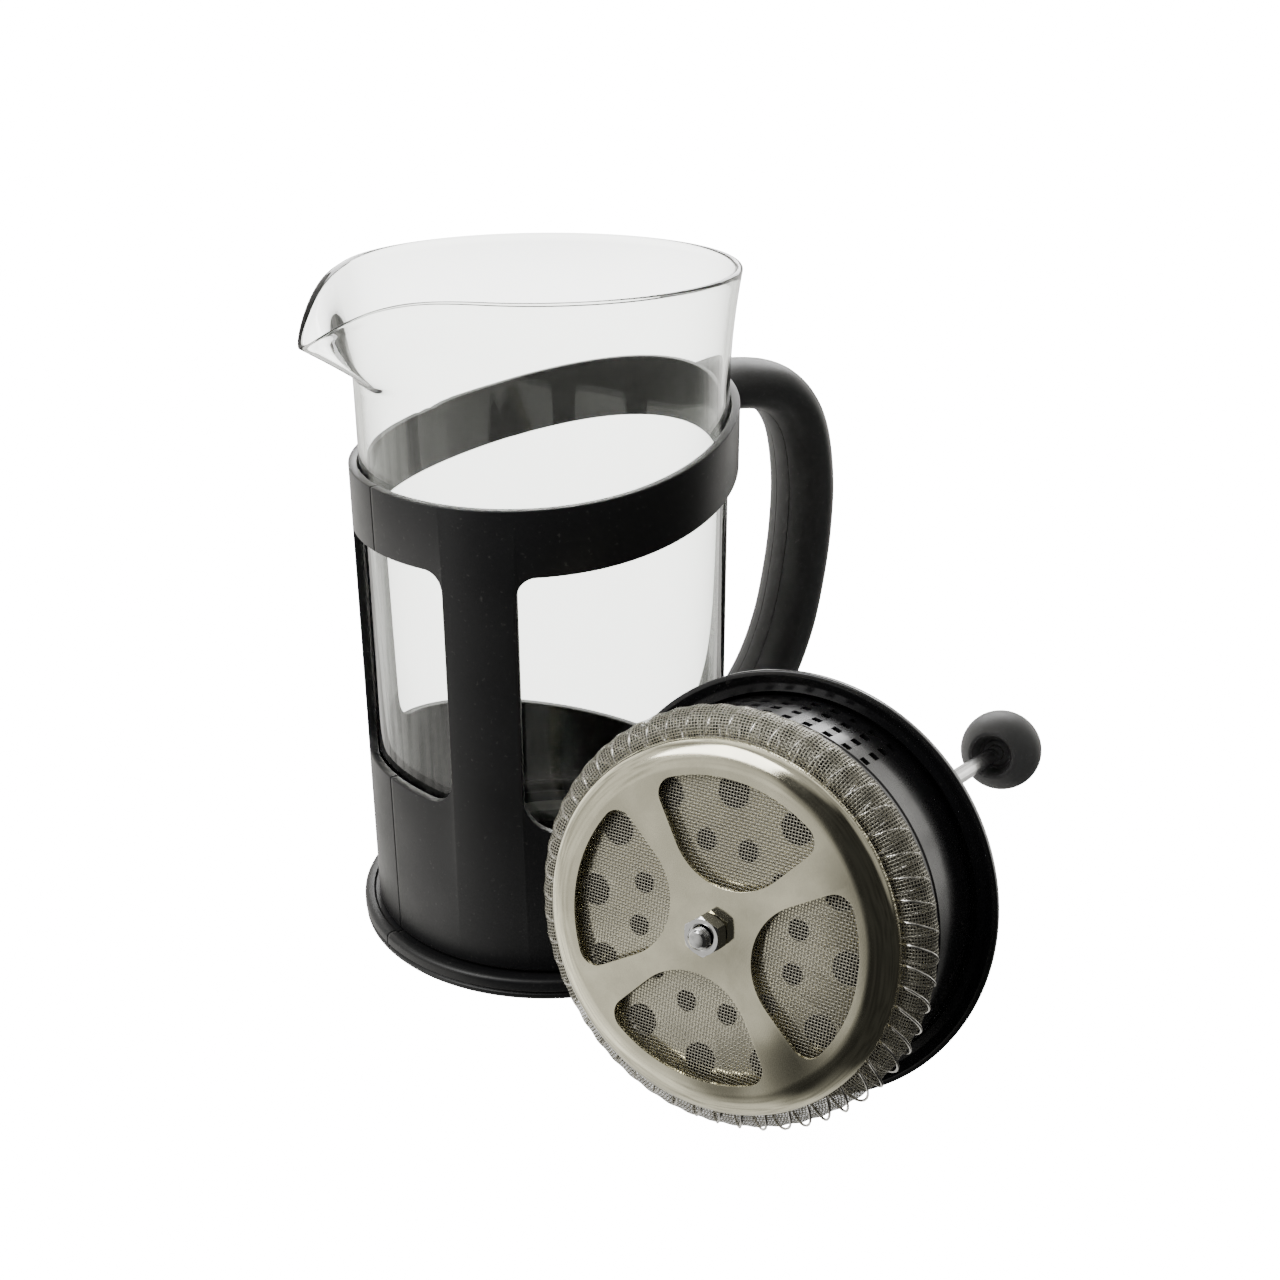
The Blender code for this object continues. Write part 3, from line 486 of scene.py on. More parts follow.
plate_steel = metal("polished_plate_steel", (0.86, 0.82, 0.63), 0.1, 0.18,
                    wave=24.0, scratches=0.001, depth=3.4 * MM)
rod_steel = metal("bright_rod_steel", (0.80, 0.80, 0.80), 0.1, 0.18)
wire_steel = metal("spring_wire_steel", (0.90, 0.88, 0.82), 0.22, 0.34)
insert_brass = metal("insert_brass", (0.80, 0.60, 0.28), 0.2, 0.35)


def woven(name, colour):
    material, tree, shader = new_material(name)
    weave = add(tree, "ShaderNodeGroup", {
        "UV": add(tree, "ShaderNodeUVMap", uv_map="lay").outputs["UV"]},
        node_tree=weave_group)
    # Painted shade: the wire colour darkens to a third where the wire dips under the other set,
    # following the weave's Depth output.
    painted_weave_shade = add(tree, "ShaderNodeMix", {
        "Factor": weave.outputs["Depth"], "A": tinted(colour, 0.35),
        "B": tinted(colour, 1.0)}, data_type="RGBA")
    tree.links.new(painted_weave_shade.outputs["Result"], shader.inputs["Base Color"])
    tree.links.new(weave.outputs["Wire Mask"], shader.inputs["Alpha"])
    relief(tree, shader, weave.outputs["Height"], 0.1 * MM, strength=0.6)
    shader.inputs["Metallic"].default_value = 0.85
    shader.inputs["Roughness"].default_value = 0.36
    return material


mesh_wire = woven("woven_mesh", (0.50, 0.48, 0.40))

# %% [markdown]
# Clear glass is nearly nothing but its edges. Light that runs a long way inside it picks up
# a pale yellow-green, so the tint is an absorption inside the glass and not a surface
# colour. A faint waviness keeps its reflections from looking ruled.

# %% Glass
def clear_glass():
    material, tree, shader = new_material("clear_glass")
    place = add(tree, "ShaderNodeTexCoord").outputs["Object"]
    ripple = speckle(tree, place, scale=28.0, detail=1.0)
    relief(tree, shader, ripple, 0.2 * MM, strength=0.25)
    smears = speckle(tree, place, scale=60.0, detail=4.0)
    tree.links.new(scaled(tree, smears, 0.0, 0.02), shader.inputs["Roughness"])
    shader.inputs["Base Color"].default_value = (0.985, 0.992, 0.985, 1)
    shader.inputs["IOR"].default_value = 1.47
    shader.inputs["Metallic"].default_value = 0.0
    shader.inputs["Transmission Weight"].default_value = 1.0
    inside = add(tree, "ShaderNodeVolumeAbsorption", {"Color": (0.72, 0.80, 0.45, 1),
                                                      "Density": 22.0})
    tree.links.new(inside.outputs["Volume"], tree.nodes["Material Output"].inputs["Volume"])
    return material


beaker_glass = clear_glass()
print("finishes:", len(bpy.data.materials))

# %% [markdown]
# ## The glass beaker
#
# The beaker is blown, with a round floor corner, a wall that opens a little at the top and a
# fire-polished bead round the rim. Its spout is drawn out while the glass is soft: seen from
# above, both lips leave the circle as straight lines and meet in a tip that droops. That
# is a rule, so the mesh is a stack of rings with a push for each direction. The rings have
# more points near the spout, where the outline turns fastest.

# %% Sizes of the glass
GLASS_WALL = 1.9 * MM
FLARE_DEPTH = 30 * MM
SPOUT_DEPTH = 24 * MM
SPOUT_DROP = 11.8 * MM
SPOUT_DROOP = 1.6
SPOUT_ROUNDING = math.radians(3.0)
GLASS_CORNER = 8 * MM
GLASS_FLOOR = 3 * MM
GLASS_SIDES = 220
FLOOR_DISH = 0.4 * MM
FLOOR_SWELL = 0.3 * MM
BEAD_SHARE = 0.52
CORNER_STEPS = 8
FLARE_STEPS = 18

glass_radius = glass_low.outer
rim_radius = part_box("glass_beaker")[1][1]
flare_out = rim_radius - glass_radius
spout_reach = -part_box("glass_beaker")[0][0] - rim_radius
print(f"spout stands out {spout_reach / MM:.1f} mm, flare {flare_out / MM:.1f} mm")


def spout_push(angle):
    """How far the rim stands out in a direction."""
    off = math.pi - abs(math.remainder(angle, TURN))
    off = math.hypot(off, SPOUT_ROUNDING) - SPOUT_ROUNDING
    spread = math.acos(rim_radius / (rim_radius + spout_reach))
    if off >= spread:
        return 0.0
    return rim_radius / math.cos(spread - off) - rim_radius


def crowded_angles(count, crowding=0.62):
    """Directions round the circle, closer together at the spout."""
    return [t + crowding * math.sin(t) for t in (TURN * i / count for i in range(count))]


# %% The glass
def glass_rows():
    """Rows (radius, height, share of the spout's push) from the floor's middle and back."""
    low, rim = glass_size.low, glass_size.high
    wall_inside = glass_radius - GLASS_WALL
    rows = [(0.0, low, 0.0), (glass_radius / 2, low + FLOOR_DISH, 0.0)]
    for step in range(CORNER_STEPS + 1):
        turn = math.pi / 2 * step / CORNER_STEPS
        rows.append((glass_radius - GLASS_CORNER * (1 - math.sin(turn)),
                     low + GLASS_CORNER * (1 - math.cos(turn)), 0.0))
    flare = []
    for step in range(FLARE_STEPS + 1):
        share = step / FLARE_STEPS
        under = GLASS_WALL / 2 + FLARE_DEPTH * (1 - share)
        drawn = max(0.0, 1 - (under - GLASS_WALL / 2) / SPOUT_DEPTH)
        flare.append((flare_out * share ** 2, rim - under, drawn))
    wall_low = low + GLASS_CORNER
    rows += [(glass_radius, wall_low + (flare[0][1] - wall_low) * k / CORNER_STEPS, 0)
             for k in range(1, CORNER_STEPS)]
    rows += [(glass_radius + out, z, drawn) for out, z, drawn in flare]
    bead, middle = GLASS_WALL * BEAD_SHARE, glass_radius + flare_out - GLASS_WALL / 2
    for step in range(1, CORNER_STEPS):
        turn = math.pi * step / CORNER_STEPS
        rows.append((middle + bead * math.cos(turn),
                     rim - GLASS_WALL / 2 + GLASS_WALL / 2 * math.sin(turn), 1.0))
    rows += [(wall_inside + out, z, drawn) for out, z, drawn in reversed(flare)]
    corner, floor = GLASS_CORNER - GLASS_WALL, low + GLASS_FLOOR
    for step in range(CORNER_STEPS + 1):
        turn = math.pi / 2 * (1 - step / CORNER_STEPS)
        rows.append((wall_inside - corner * (1 - math.sin(turn)),
                     floor + corner * (1 - math.cos(turn)), 0.0))
    return rows + [(glass_radius / 2, floor + FLOOR_SWELL, 0.0), (0.0, floor, 0.0)]


def make_glass():
    shape = bmesh.new()
    angles = crowded_angles(GLASS_SIDES)
    rows = []
    for radius, height, drawn in glass_rows():
        if radius == 0:
            rows.append([(0, 0, height)])
            continue
        row = []
        for angle in angles:
            push = spout_push(angle)
            drop = SPOUT_DROP * (push / spout_reach) ** SPOUT_DROOP * drawn
            reach = radius + push * drawn
            row.append((reach * math.cos(angle), reach * math.sin(angle), height - drop))
        rows.append(row)
    skin(shape, rows)
    return link("beaker", plain_mesh(shape, "beaker"))


finish(make_glass(), "beaker", beaker_glass, "beaker", ["glass_beaker"],
       sharp=60)

# %% [markdown]
# ## The holder
#
# The holder is one moulding: a skirt round the foot, a band that climbs to the handle, and
# two uprights between them. It is drawn as the columns of a sheet wrapped round the axis,
# and gets its wall from Solidify. The corners of the openings are quarter circles, so the
# columns crowd together there. A bevel then breaks every edge, because a moulded edge that
# is dead sharp catches no light.

# %% Sizes of the holder
holder_size = Span("holder_frame")
HOLDER_WALL = 2.3 * MM
BAND_WIDTH = 16.8 * MM
BAND_UNDER_RIM = 48.6 * MM
BAND_RISE = 17.5 * MM
SKIRT_TOP_AT_SPOUT = 52.8 * MM
SKIRT_DIP = 22.5 * MM
UPRIGHT_ANGLE = math.radians(142.3)
UPRIGHT_WIDTH = 19.3 * MM
CORNER_LOW = 8 * MM
CORNER_HIGH = 5 * MM
EDGE_ROUNDING = 0.8 * MM
CORNER_COLUMNS = 12
UPRIGHT_COLUMNS = 8
COLUMN_STEP = math.radians(2.4)
AT_UPRIGHT = 1e-6

holder_outer = holder_size.outer
print(f"holder: {holder_outer / MM:.1f} mm radius, up to {holder_size.high / MM:.1f} mm")


def towards_handle(angle):
    return (1 + math.cos(angle)) / 2


def band_top(angle):
    return glass_size.high - BAND_UNDER_RIM + BAND_RISE * towards_handle(angle) ** 2


def skirt_top(angle):
    return SKIRT_TOP_AT_SPOUT - SKIRT_DIP * towards_handle(angle)


def corner_lift(distance, radius):
    """Height of a quarter-round corner at a distance from the upright."""
    if distance >= radius:
        return 0.0
    return radius - math.sqrt(radius ** 2 - (radius - distance) ** 2)


def opening_columns(start, end):
    """Directions across an opening, closer together in its corners."""
    corner = CORNER_LOW / holder_outer
    inside = end - start - 2 * corner
    steps = [1 - math.cos(math.pi / 2 * k / CORNER_COLUMNS) for k in range(CORNER_COLUMNS)]
    angles = [start + corner * share for share in steps]
    count = round(inside / COLUMN_STEP)
    angles += [start + corner + inside * k / count for k in range(count + 1)]
    return angles + [end - corner * share for share in reversed(steps)]


# %% The holder
def make_holder():
    half = UPRIGHT_WIDTH / 2 / holder_outer
    near, far = UPRIGHT_ANGLE - half, UPRIGHT_ANGLE + half
    columns = [(a, min(a + near, near - a)) for a in opening_columns(-near, near)]
    across = [(far - near) * k / UPRIGHT_COLUMNS for k in range(1, UPRIGHT_COLUMNS)]
    columns += [(near + step, 0.0) for step in across]
    columns += [(a, min(a - far, TURN - far - a)) for a in opening_columns(far, TURN - far)]
    columns += [(TURN - far + step, 0.0) for step in across]
    shape = bmesh.new()
    grid = []
    for angle, off in columns:
        distance = max(0.0, off) * holder_outer
        top = band_top(angle)
        heights = (holder_size.low, skirt_top(angle) + corner_lift(distance, CORNER_LOW),
                   top - BAND_WIDTH - corner_lift(distance, CORNER_HIGH), top)
        grid.append([shape.verts.new((holder_outer * math.cos(angle),
                                      holder_outer * math.sin(angle), z)) for z in heights])
    for i, (angle, off) in enumerate(columns):
        one, two = grid[i - 1], grid[i]
        upright_here = max(columns[i - 1][1], off) < AT_UPRIGHT
        for row in (0, 1, 2):
            if row != 1 or upright_here:
                shape.faces.new((one[row], two[row], two[row + 1], one[row + 1]))
    item = link("holder", plain_mesh(shape, "holder", turn_outwards=False))
    wall = item.modifiers.new("wall", "SOLIDIFY")
    wall.thickness = HOLDER_WALL
    wall.offset = -1
    bevel(item, EDGE_ROUNDING, 3, 50)
    return settle(item)


finish(make_holder(), "holder", holder_black, "holder", ["holder_frame"],
       sharp=50)

# %% [markdown]
# ## The foot
#
# The foot is turned: a flange that stands out past the skirt, rounded on its upper edge,
# with a groove all round just above the table. Inside, a low spigot centres the skirt.

# %% The foot
foot_size = Span("base_plate")
FOOT_SIDES = 192
FOOT_FLANGE = 6 * MM
SPIGOT_RISE = 1.8 * MM
SPIGOT_WALL = 2.2 * MM
FLOOR_TOP = 4 * MM
LEDGE_STEP = 0.7 * MM
LEDGE_OUT = 1.2 * MM
LEDGE_SLOPE = 0.4 * MM
SOLE_BEVEL = 0.9 * MM
SOLE_RISE = 0.8 * MM
LIP_SETBACK = 0.2 * MM
GROOVE_DEPTH = 0.8 * MM
GROOVE_LOW = 1.7 * MM
GROOVE_HIGH = 2.9 * MM
GROOVE_SLOPE = 0.4 * MM
PRESS_GAP = 0.3 * MM


def make_foot():
    edge = foot_size.outer
    lip, groove = edge - LIP_SETBACK, edge - GROOVE_DEPTH
    ledge = FOOT_FLANGE - LEDGE_STEP
    spigot = holder_outer - HOLDER_WALL - PRESS_GAP
    top = FOOT_FLANGE + SPIGOT_RISE
    return turned([
        (0, 0, 0), (edge - SOLE_BEVEL, 0, 0.3 * MM), (lip, SOLE_RISE, 0.4 * MM),
        (lip, GROOVE_LOW, 0.2 * MM), (groove, GROOVE_LOW + GROOVE_SLOPE, 0.1 * MM),
        (groove, GROOVE_HIGH - GROOVE_SLOPE, 0.1 * MM), (edge, GROOVE_HIGH, 0.3 * MM),
        (edge, FOOT_FLANGE, 1.3 * MM),
        (holder_outer + LEDGE_OUT + LEDGE_SLOPE, FOOT_FLANGE, 0.3 * MM),
        (holder_outer + LEDGE_OUT, ledge, 0.2 * MM), (spigot, ledge, 0), (spigot, top, 0.3 * MM),
        (spigot - SPIGOT_WALL, top, 0.3 * MM), (spigot - SPIGOT_WALL, FLOOR_TOP, 0.4 * MM),
        (0, FLOOR_TOP, 0)], FOOT_SIDES)


finish(link("foot", make_foot()), "foot", holder_black, "holder", ["base_plate"],
       sharp=50)

# %% [markdown]
# ## The handle
#
# The handle is an ear: out from the band, round, and back in to the skirt. Its grip is a
# squared-off oval swept along a smooth curve. A strip closes its hollow inner side and sits
# in a shallow recess, with a seam down either side that the eye picks out at once. At both
# roots the section meets the holder squarely and hugs its round wall.

# %% The handle's line
HANDLE_PATH = [(14.8, 1.0), (27.3, 0.97), (35.9, 0.885), (39.7, 0.75), (39.7, 0.61),
               (37.6, 0.48), (34.2, 0.365), (28.1, 0.255), (18.8, 0.155), (9.3, 0.065)]
HANDLE_WIDTH = 21.5 * MM
ROOT_DEPTH = 13 * MM
GRIP_DEPTH = 15.5 * MM
STRIP_HALF_WIDTH = 2.9 * MM
OVAL_POWER = 2.15
OVAL_STEPS = 40
HANDLE_STEPS = 168
PLUG = 1 / 7
PLUG_MARGIN = 0.004
RECESS_START = PLUG * 0.93
RECESS_FADE = PLUG * 0.06
SEAM = 0.22 * MM
RECESS = 1.4 * MM
STRIP_CROWN = 0.15 * MM
STRIP_SHARE = 0.8
ROOT_GAP = 0.3 * MM
SKIN_GAP = 0.1 * MM

upper_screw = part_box("handle_screw_upper")
lower_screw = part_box("handle_screw_lower")
root_top = (upper_screw[0][2] + upper_screw[1][2]) / 2
root_foot = (lower_screw[0][2] + lower_screw[1][2]) / 2
print(f"handle roots at {root_top / MM:.1f} and {root_foot / MM:.1f} mm")


def handle_stations():
    """Points, directions and shares along the handle: a curve through the path's points."""
    points = [Vector((holder_outer, root_top))]
    points += [Vector((holder_outer + out * MM, root_foot + (root_top - root_foot) * share))
               for out, share in HANDLE_PATH]
    points.append(Vector((holder_outer, root_foot)))
    padded = [2 * points[0] - points[1]] + points + [2 * points[-1] - points[-2]]
    spans = len(points) - 1
    for step in range(HANDLE_STEPS + 1):
        position = spans * step / HANDLE_STEPS
        span = min(int(position), spans - 1)
        t = position - span
        a, b, c, d = padded[span:span + 4]
        here = 0.5 * (2 * b + (c - a) * t + (2 * a - 5 * b + 4 * c - d) * t ** 2
                      + (3 * b - a - 3 * c + d) * t ** 3)
        along = 0.5 * ((c - a) + 2 * (2 * a - 5 * b + 4 * c - d) * t
                       + 3 * (3 * b - a - 3 * c + d) * t ** 2)
        yield here, along.normalized(), step / HANDLE_STEPS


def handle_depth(share):
    """The section's depth swells from the roots to the grip."""
    return ROOT_DEPTH + (GRIP_DEPTH - ROOT_DEPTH) * math.sin(math.pi * share) ** 0.8


def sweep(section, first, last):
    """Rings of a section (share) -> [(u, v)] along the handle, hugging the holder."""
    rings = []
    for here, along, share in handle_stations():
        if not first <= share <= last:
            continue
        outward = Vector((-along.y, along.x))
        squared = max(0.0, 1 - min(share, 1 - share) / PLUG)
        outward = outward.lerp(Vector((0, 1 if share < 0.5 else -1)), squared).normalized()
        ring = []
        for u, v in section(share):
            point = here + outward * u
            face = math.sqrt((holder_outer + ROOT_GAP) ** 2 - v ** 2)
            at_root = share in (0.0, 1.0)
            ring.append((face if at_root else max(point.x, face + SKIN_GAP), v, point.y))
        rings.append(ring)
    return rings


# %% The handle's shell and cover strip
def oval_depth(share, v):
    """Half the oval's depth at an offset v from its middle plane."""
    side = min(1.0, abs(v) / (HANDLE_WIDTH / 2))
    return handle_depth(share) / 2 * (1 - side ** OVAL_POWER) ** (1 / OVAL_POWER)


def ease(value):
    """A soft step: 0 below 0, 1 above 1, and level at both ends."""
    value = min(1.0, max(0.0, value))
    return value * value * (3 - 2 * value)


def recess_depth(share):
    """The recess fades out before the roots."""
    return RECESS * ease((min(share, 1 - share) - RECESS_START) / RECESS_FADE)


def shell_section(share):
    """The oval, open on its inner side, and the floor of the recess there."""
    reach = (STRIP_HALF_WIDTH / (HANDLE_WIDTH / 2)) ** (OVAL_POWER / 2)
    start = math.pi - math.asin(reach)
    points = []
    for k in range(OVAL_STEPS + 1):
        angle = start - 2 * start * k / OVAL_STEPS
        c, s = math.cos(angle), math.sin(angle)
        points.append((math.copysign(abs(c) ** (2 / OVAL_POWER), c) * handle_depth(share) / 2,
                       math.copysign(abs(s) ** (2 / OVAL_POWER), s) * HANDLE_WIDTH / 2))
    edge = points[-1][1]
    floor = [(-oval_depth(share, edge * t) + recess_depth(share), edge * t)
             for t in (0.985, 0.8, 0.5, 0.2, -0.2, -0.5, -0.8, -0.985)]
    return points + floor


def strip_section(share):
    """The strip follows the oval with a slight crown, and its back lies in the recess."""
    edge = STRIP_HALF_WIDTH - SEAM
    crown = [(-oval_depth(share, edge * t) - STRIP_CROWN * (1 - t * t), edge * t)
             for t in (-1, -0.9, -0.6, -0.3, 0, 0.3, 0.6, 0.9, 1)]
    back = -oval_depth(share, 0) + RECESS * STRIP_SHARE
    return crown + [(back, edge), (back, -edge)]


def middle_of(ring):
    return [sum((Vector(point) for point in ring), Vector()) / len(ring)]


def make_sweep(name, section, first, last):
    """A section swept along the handle, closed at both ends."""
    shape = bmesh.new()
    rings = sweep(section, first, last)
    skin(shape, [middle_of(rings[0])] + rings + [middle_of(rings[-1])])
    return link(name, plain_mesh(shape, name))


strip_start = PLUG + PLUG_MARGIN
finish(make_sweep("handle", shell_section, 0.0, 1.0), "handle", handle_black, "holder",
       ["handle_shell"], sharp=38)
finish(make_sweep("handle_strip", strip_section, strip_start, 1 - strip_start),
       "handle_strip", handle_black, "holder", ["handle_cover"], sharp=38)

# %% [markdown]
# ## The lid
#
# Seen from below, the lid is a broad dished brim with a rolled edge round a cup that hangs
# in the glass. The brim and the dome are one turned outline. The dome rises to a boss that
# holds the rod's bush.

# %% The lid's cover and bush
lid_size = Span("lid_cover", lid_frame)
strainer_size = Span("lid_strainer", lid_frame)
bush_size = Span("lid_bush", lid_frame)
LID_SIDES = 224
LID_WALL = 2.0 * MM
LINING_GAP = 0.3 * MM
BRIM_HEIGHT = 2.4 * MM
BRIM_FOOT = 1.2 * MM
BRIM_ROLL = 1.6 * MM
BRIM_CROWN = 0.4 * MM
BRIM_BEAD = 3.2 * MM
BRIM_HOLLOW = 1.5 * MM
KERB_WIDTH = 0.8 * MM
KERB_RISE = 1.2 * MM
DOME_OVER_CUP = 1.2 * MM
DOME_FOOT = 4.4 * MM
DOME_RISE = 10.6 * MM
DOME_TOP = 11 * MM
DOME_STEPS = 14
BOSS_RADIUS = 8 * MM
BUSH_LIP = 1.6 * MM
BUSH_SIDES = 64
print(f"lid: {lid_size.outer / MM:.1f} mm radius, {lid_size.high / MM:.1f} mm high")


def make_cover():
    edge, seat = lid_size.outer, lid_size.inner
    foot = strainer_size.outer + DOME_OVER_CUP
    drop = LID_WALL + BRIM_CROWN
    crown = DOME_FOOT + DOME_RISE
    outside = [(DOME_TOP + (foot - DOME_TOP) * math.cos(t), DOME_FOOT + DOME_RISE * math.sin(t), 0)
               for t in (math.pi / 2 * k / DOME_STEPS for k in range(DOME_STEPS + 1))]
    inside = [(r - LINING_GAP, z - drop, 0) for r, z, _ in outside]
    outline = [(edge - BRIM_FOOT, 0, 0.35 * MM), (edge, 0, 0.45 * MM),
               (edge, BRIM_HEIGHT, 1.0 * MM),
               (edge - BRIM_ROLL, BRIM_HEIGHT + BRIM_CROWN, 0.5 * MM),
               (foot + KERB_WIDTH, BRIM_HEIGHT + KERB_RISE, 0.4 * MM)] + outside
    outline += [(BOSS_RADIUS, crown + 1 * MM, 1.0 * MM), (BOSS_RADIUS, lid_size.high, 0.7 * MM),
                (seat, lid_size.high, 0.2 * MM), (seat, crown - drop, 0)]
    outline += inside[::-1]
    outline += [(foot - LINING_GAP, BRIM_HOLLOW + 0.25 * MM, 0),
                (edge - BRIM_BEAD, BRIM_HOLLOW, 0.9 * MM)]
    return turned(outline, LID_SIDES)


finish(link("lid", make_cover()), "lid", lid_black, "lid", ["lid_cover"],
       lid_frame, sharp=40)


def make_bush():
    bore, flange = bush_size.inner, bush_size.outer
    sleeve = lid_size.inner - PRESS_GAP
    low, high = bush_size.low, bush_size.high
    return turned([
        (bore, low, 0.3 * MM), (flange, low, 0.4 * MM), (flange, low + BUSH_LIP, 0.2 * MM),
        (sleeve, low + BUSH_LIP, 0), (sleeve, high - BUSH_LIP, 0),
        (flange, high - BUSH_LIP, 0.2 * MM), (flange, high, 0.5 * MM), (bore, high, 0.3 * MM)],
        BUSH_SIDES)


finish(link("bush", make_bush()), "bush", lid_black, "guide", ["lid_bush"],
       lid_frame)

# %% [markdown]
# ## The strainer's slots
#
# On the pouring side the cup has a patch of small slots, ten across and four deep. A patch
# that repeats is work for Geometry Nodes: points are laid out by their index on the cup's
# wall, a block stands at each of them, and one Boolean takes all the blocks away. Named
# inputs hold the counts and sizes, so another patch is a matter of new numbers.

# %% Geometry Nodes helpers
def new_tree(name, inputs):
    """A Geometry Nodes tree with a geometry input and named values."""
    tree = bpy.data.node_groups.new(name, "GeometryNodeTree")
    tree.interface.new_socket("Geometry", in_out="INPUT", socket_type="NodeSocketGeometry")
    for label, kind in inputs:
        tree.interface.new_socket(label, in_out="INPUT", socket_type=kind)
    tree.interface.new_socket("Geometry", in_out="OUTPUT", socket_type="NodeSocketGeometry")
    return tree, tree.nodes.new("NodeGroupInput"), tree.nodes.new("NodeGroupOutput")


def end_tree(tree, geometry, out, given):
    """End a tree in Realize Instances and Set Material."""
    real = add(tree, "GeometryNodeRealizeInstances", {"Geometry": geometry})
    painted = add(tree, "GeometryNodeSetMaterial", {
        "Geometry": real.outputs["Geometry"], "Material": given.outputs["Finish"]})
    tree.links.new(painted.outputs["Geometry"], out.inputs["Geometry"])


def round_axis(tree, angle, radius, height):
    """A place at an angle, a radius and a height about Z."""
    return add(tree, "ShaderNodeCombineXYZ", {
        "X": sum_of(tree, "MULTIPLY", radius, sum_of(tree, "COSINE", angle)),
        "Y": sum_of(tree, "MULTIPLY", radius, sum_of(tree, "SINE", angle)),
        "Z": height}).outputs["Vector"]


def stand_at(tree, count, place, cutter, rotation=(0, 0, 0)):
    """A copy of a cutter at each of a count of places."""
    dots = add(tree, "GeometryNodePoints", {"Count": count, "Position": place})
    return add(tree, "GeometryNodeInstanceOnPoints", {
        "Points": dots.outputs[0], "Instance": cutter, "Rotation": rotation}).outputs["Instances"]


def cut_away(tree, get, cutters):
    """Take all the cutters out of the tree's geometry with one Boolean."""
    solid = add(tree, "GeometryNodeRealizeInstances", {"Geometry": cutters})
    return add(tree, "GeometryNodeMeshBoolean", {
        "Mesh 1": get["Geometry"], "Mesh 2": solid.outputs["Geometry"]},
        operation="DIFFERENCE", solver="EXACT").outputs["Mesh"]


def run_tree(item, tree, values):
    """Hang a tree on an object and set its inputs by their identifiers."""
    tool = item.modifiers.new(tree.name, "NODES")
    tool.node_group = tree
    for socket in tree.interface.items_tree:
        if socket.in_out == "INPUT" and socket.name in values:
            tool[socket.identifier] = values[socket.name]
    item.update_tag()
    return item


# %% Tree: a patch of slots
def slot_patch():
    tree, given, out = new_tree("slot_patch", [
        ("Columns", "NodeSocketInt"), ("Rows", "NodeSocketInt"), ("Radius", FLOAT),
        ("Column Step", FLOAT), ("Row Step", FLOAT), ("First Row", FLOAT), ("Width", FLOAT),
        ("Height", FLOAT), ("Depth", FLOAT), ("Finish", "NodeSocketMaterial")])
    get = given.outputs
    index = add(tree, "GeometryNodeInputIndex").outputs["Index"]
    column = sum_of(tree, "MODULO", index, get["Columns"])
    row = sum_of(tree, "FLOOR", sum_of(tree, "DIVIDE", index, get["Columns"]))
    middle = sum_of(tree, "DIVIDE", sum_of(tree, "SUBTRACT", get["Columns"], 1.0), 2.0)
    angle = sum_of(tree, "ADD", sum_of(tree, "MULTIPLY", sum_of(
        tree, "SUBTRACT", column, middle), get["Column Step"]), math.pi / 2)
    place = round_axis(tree, angle, get["Radius"], sum_of(
        tree, "SUBTRACT", get["First Row"], sum_of(tree, "MULTIPLY", row, get["Row Step"])))
    count = sum_of(tree, "MULTIPLY", get["Columns"], get["Rows"])
    size = add(tree, "ShaderNodeCombineXYZ", {"X": get["Depth"], "Y": get["Width"],
                                              "Z": get["Height"]})
    block = add(tree, "GeometryNodeMeshCube", {"Size": size.outputs["Vector"]})
    turn = add(tree, "ShaderNodeCombineXYZ", {"Z": angle})
    blocks = stand_at(tree, count, place, block.outputs["Mesh"], turn.outputs["Vector"])
    end_tree(tree, cut_away(tree, get, blocks), out, given)
    return tree


# %% The strainer
STRAINER_WALL = 1.5 * MM
STRAINER_PLATE = 1.6 * MM
SLOT_ROWS = 4
SLOT_COLUMNS = 10
SLOT_WIDTH = 2.1 * MM
SLOT_HEIGHT = 2.4 * MM
SLOT_STEP = TURN / 56
TOP_MARGIN = 0.9 * MM
BOTTOM_MARGIN = 2.2 * MM
CUP_STEP = 0.3 * MM
CUP_STEP_LOW = 1.4 * MM
CUP_STEP_HIGH = 1.8 * MM


def make_strainer():
    outer, low, high = strainer_size.outer, strainer_size.low, strainer_size.high
    seat = strainer_size.inner
    inner = outer - STRAINER_WALL
    plate_low = high - STRAINER_PLATE
    item = link("strainer", turned([
        (seat, plate_low, 0), (inner, plate_low, 0.5 * MM), (inner, low, 0.3 * MM),
        (outer - CUP_STEP, low, 0.2 * MM), (outer - CUP_STEP, low + CUP_STEP_LOW, 0.1 * MM),
        (outer, low + CUP_STEP_HIGH, 0.1 * MM), (outer, high, 0), (seat, high, 0)],
        LID_SIDES))
    first = plate_low - TOP_MARGIN
    last = low + BOTTOM_MARGIN + SLOT_HEIGHT
    run_tree(item, slot_patch(), {
        "Columns": SLOT_COLUMNS, "Rows": SLOT_ROWS, "Radius": outer - STRAINER_WALL / 2,
        "Column Step": SLOT_STEP, "Row Step": (first - last) / (SLOT_ROWS - 1),
        "First Row": first - SLOT_HEIGHT / 2, "Width": SLOT_WIDTH, "Height": SLOT_HEIGHT,
        "Depth": STRAINER_WALL * 3, "Finish": lid_black})
    return settle(item)


finish(make_strainer(), "strainer", lid_black, "lid", ["lid_strainer"],
       lid_frame, sharp=40)

# %% [markdown]
# ## The perforated plate
#
# Behind the mesh a shallow steel dish backs it up. Two rings of round holes let the coffee
# through, and behind the mesh they show as dark discs. One tree makes both rings of hole
# cutters, each from its own radius and start angle, before a single Boolean.

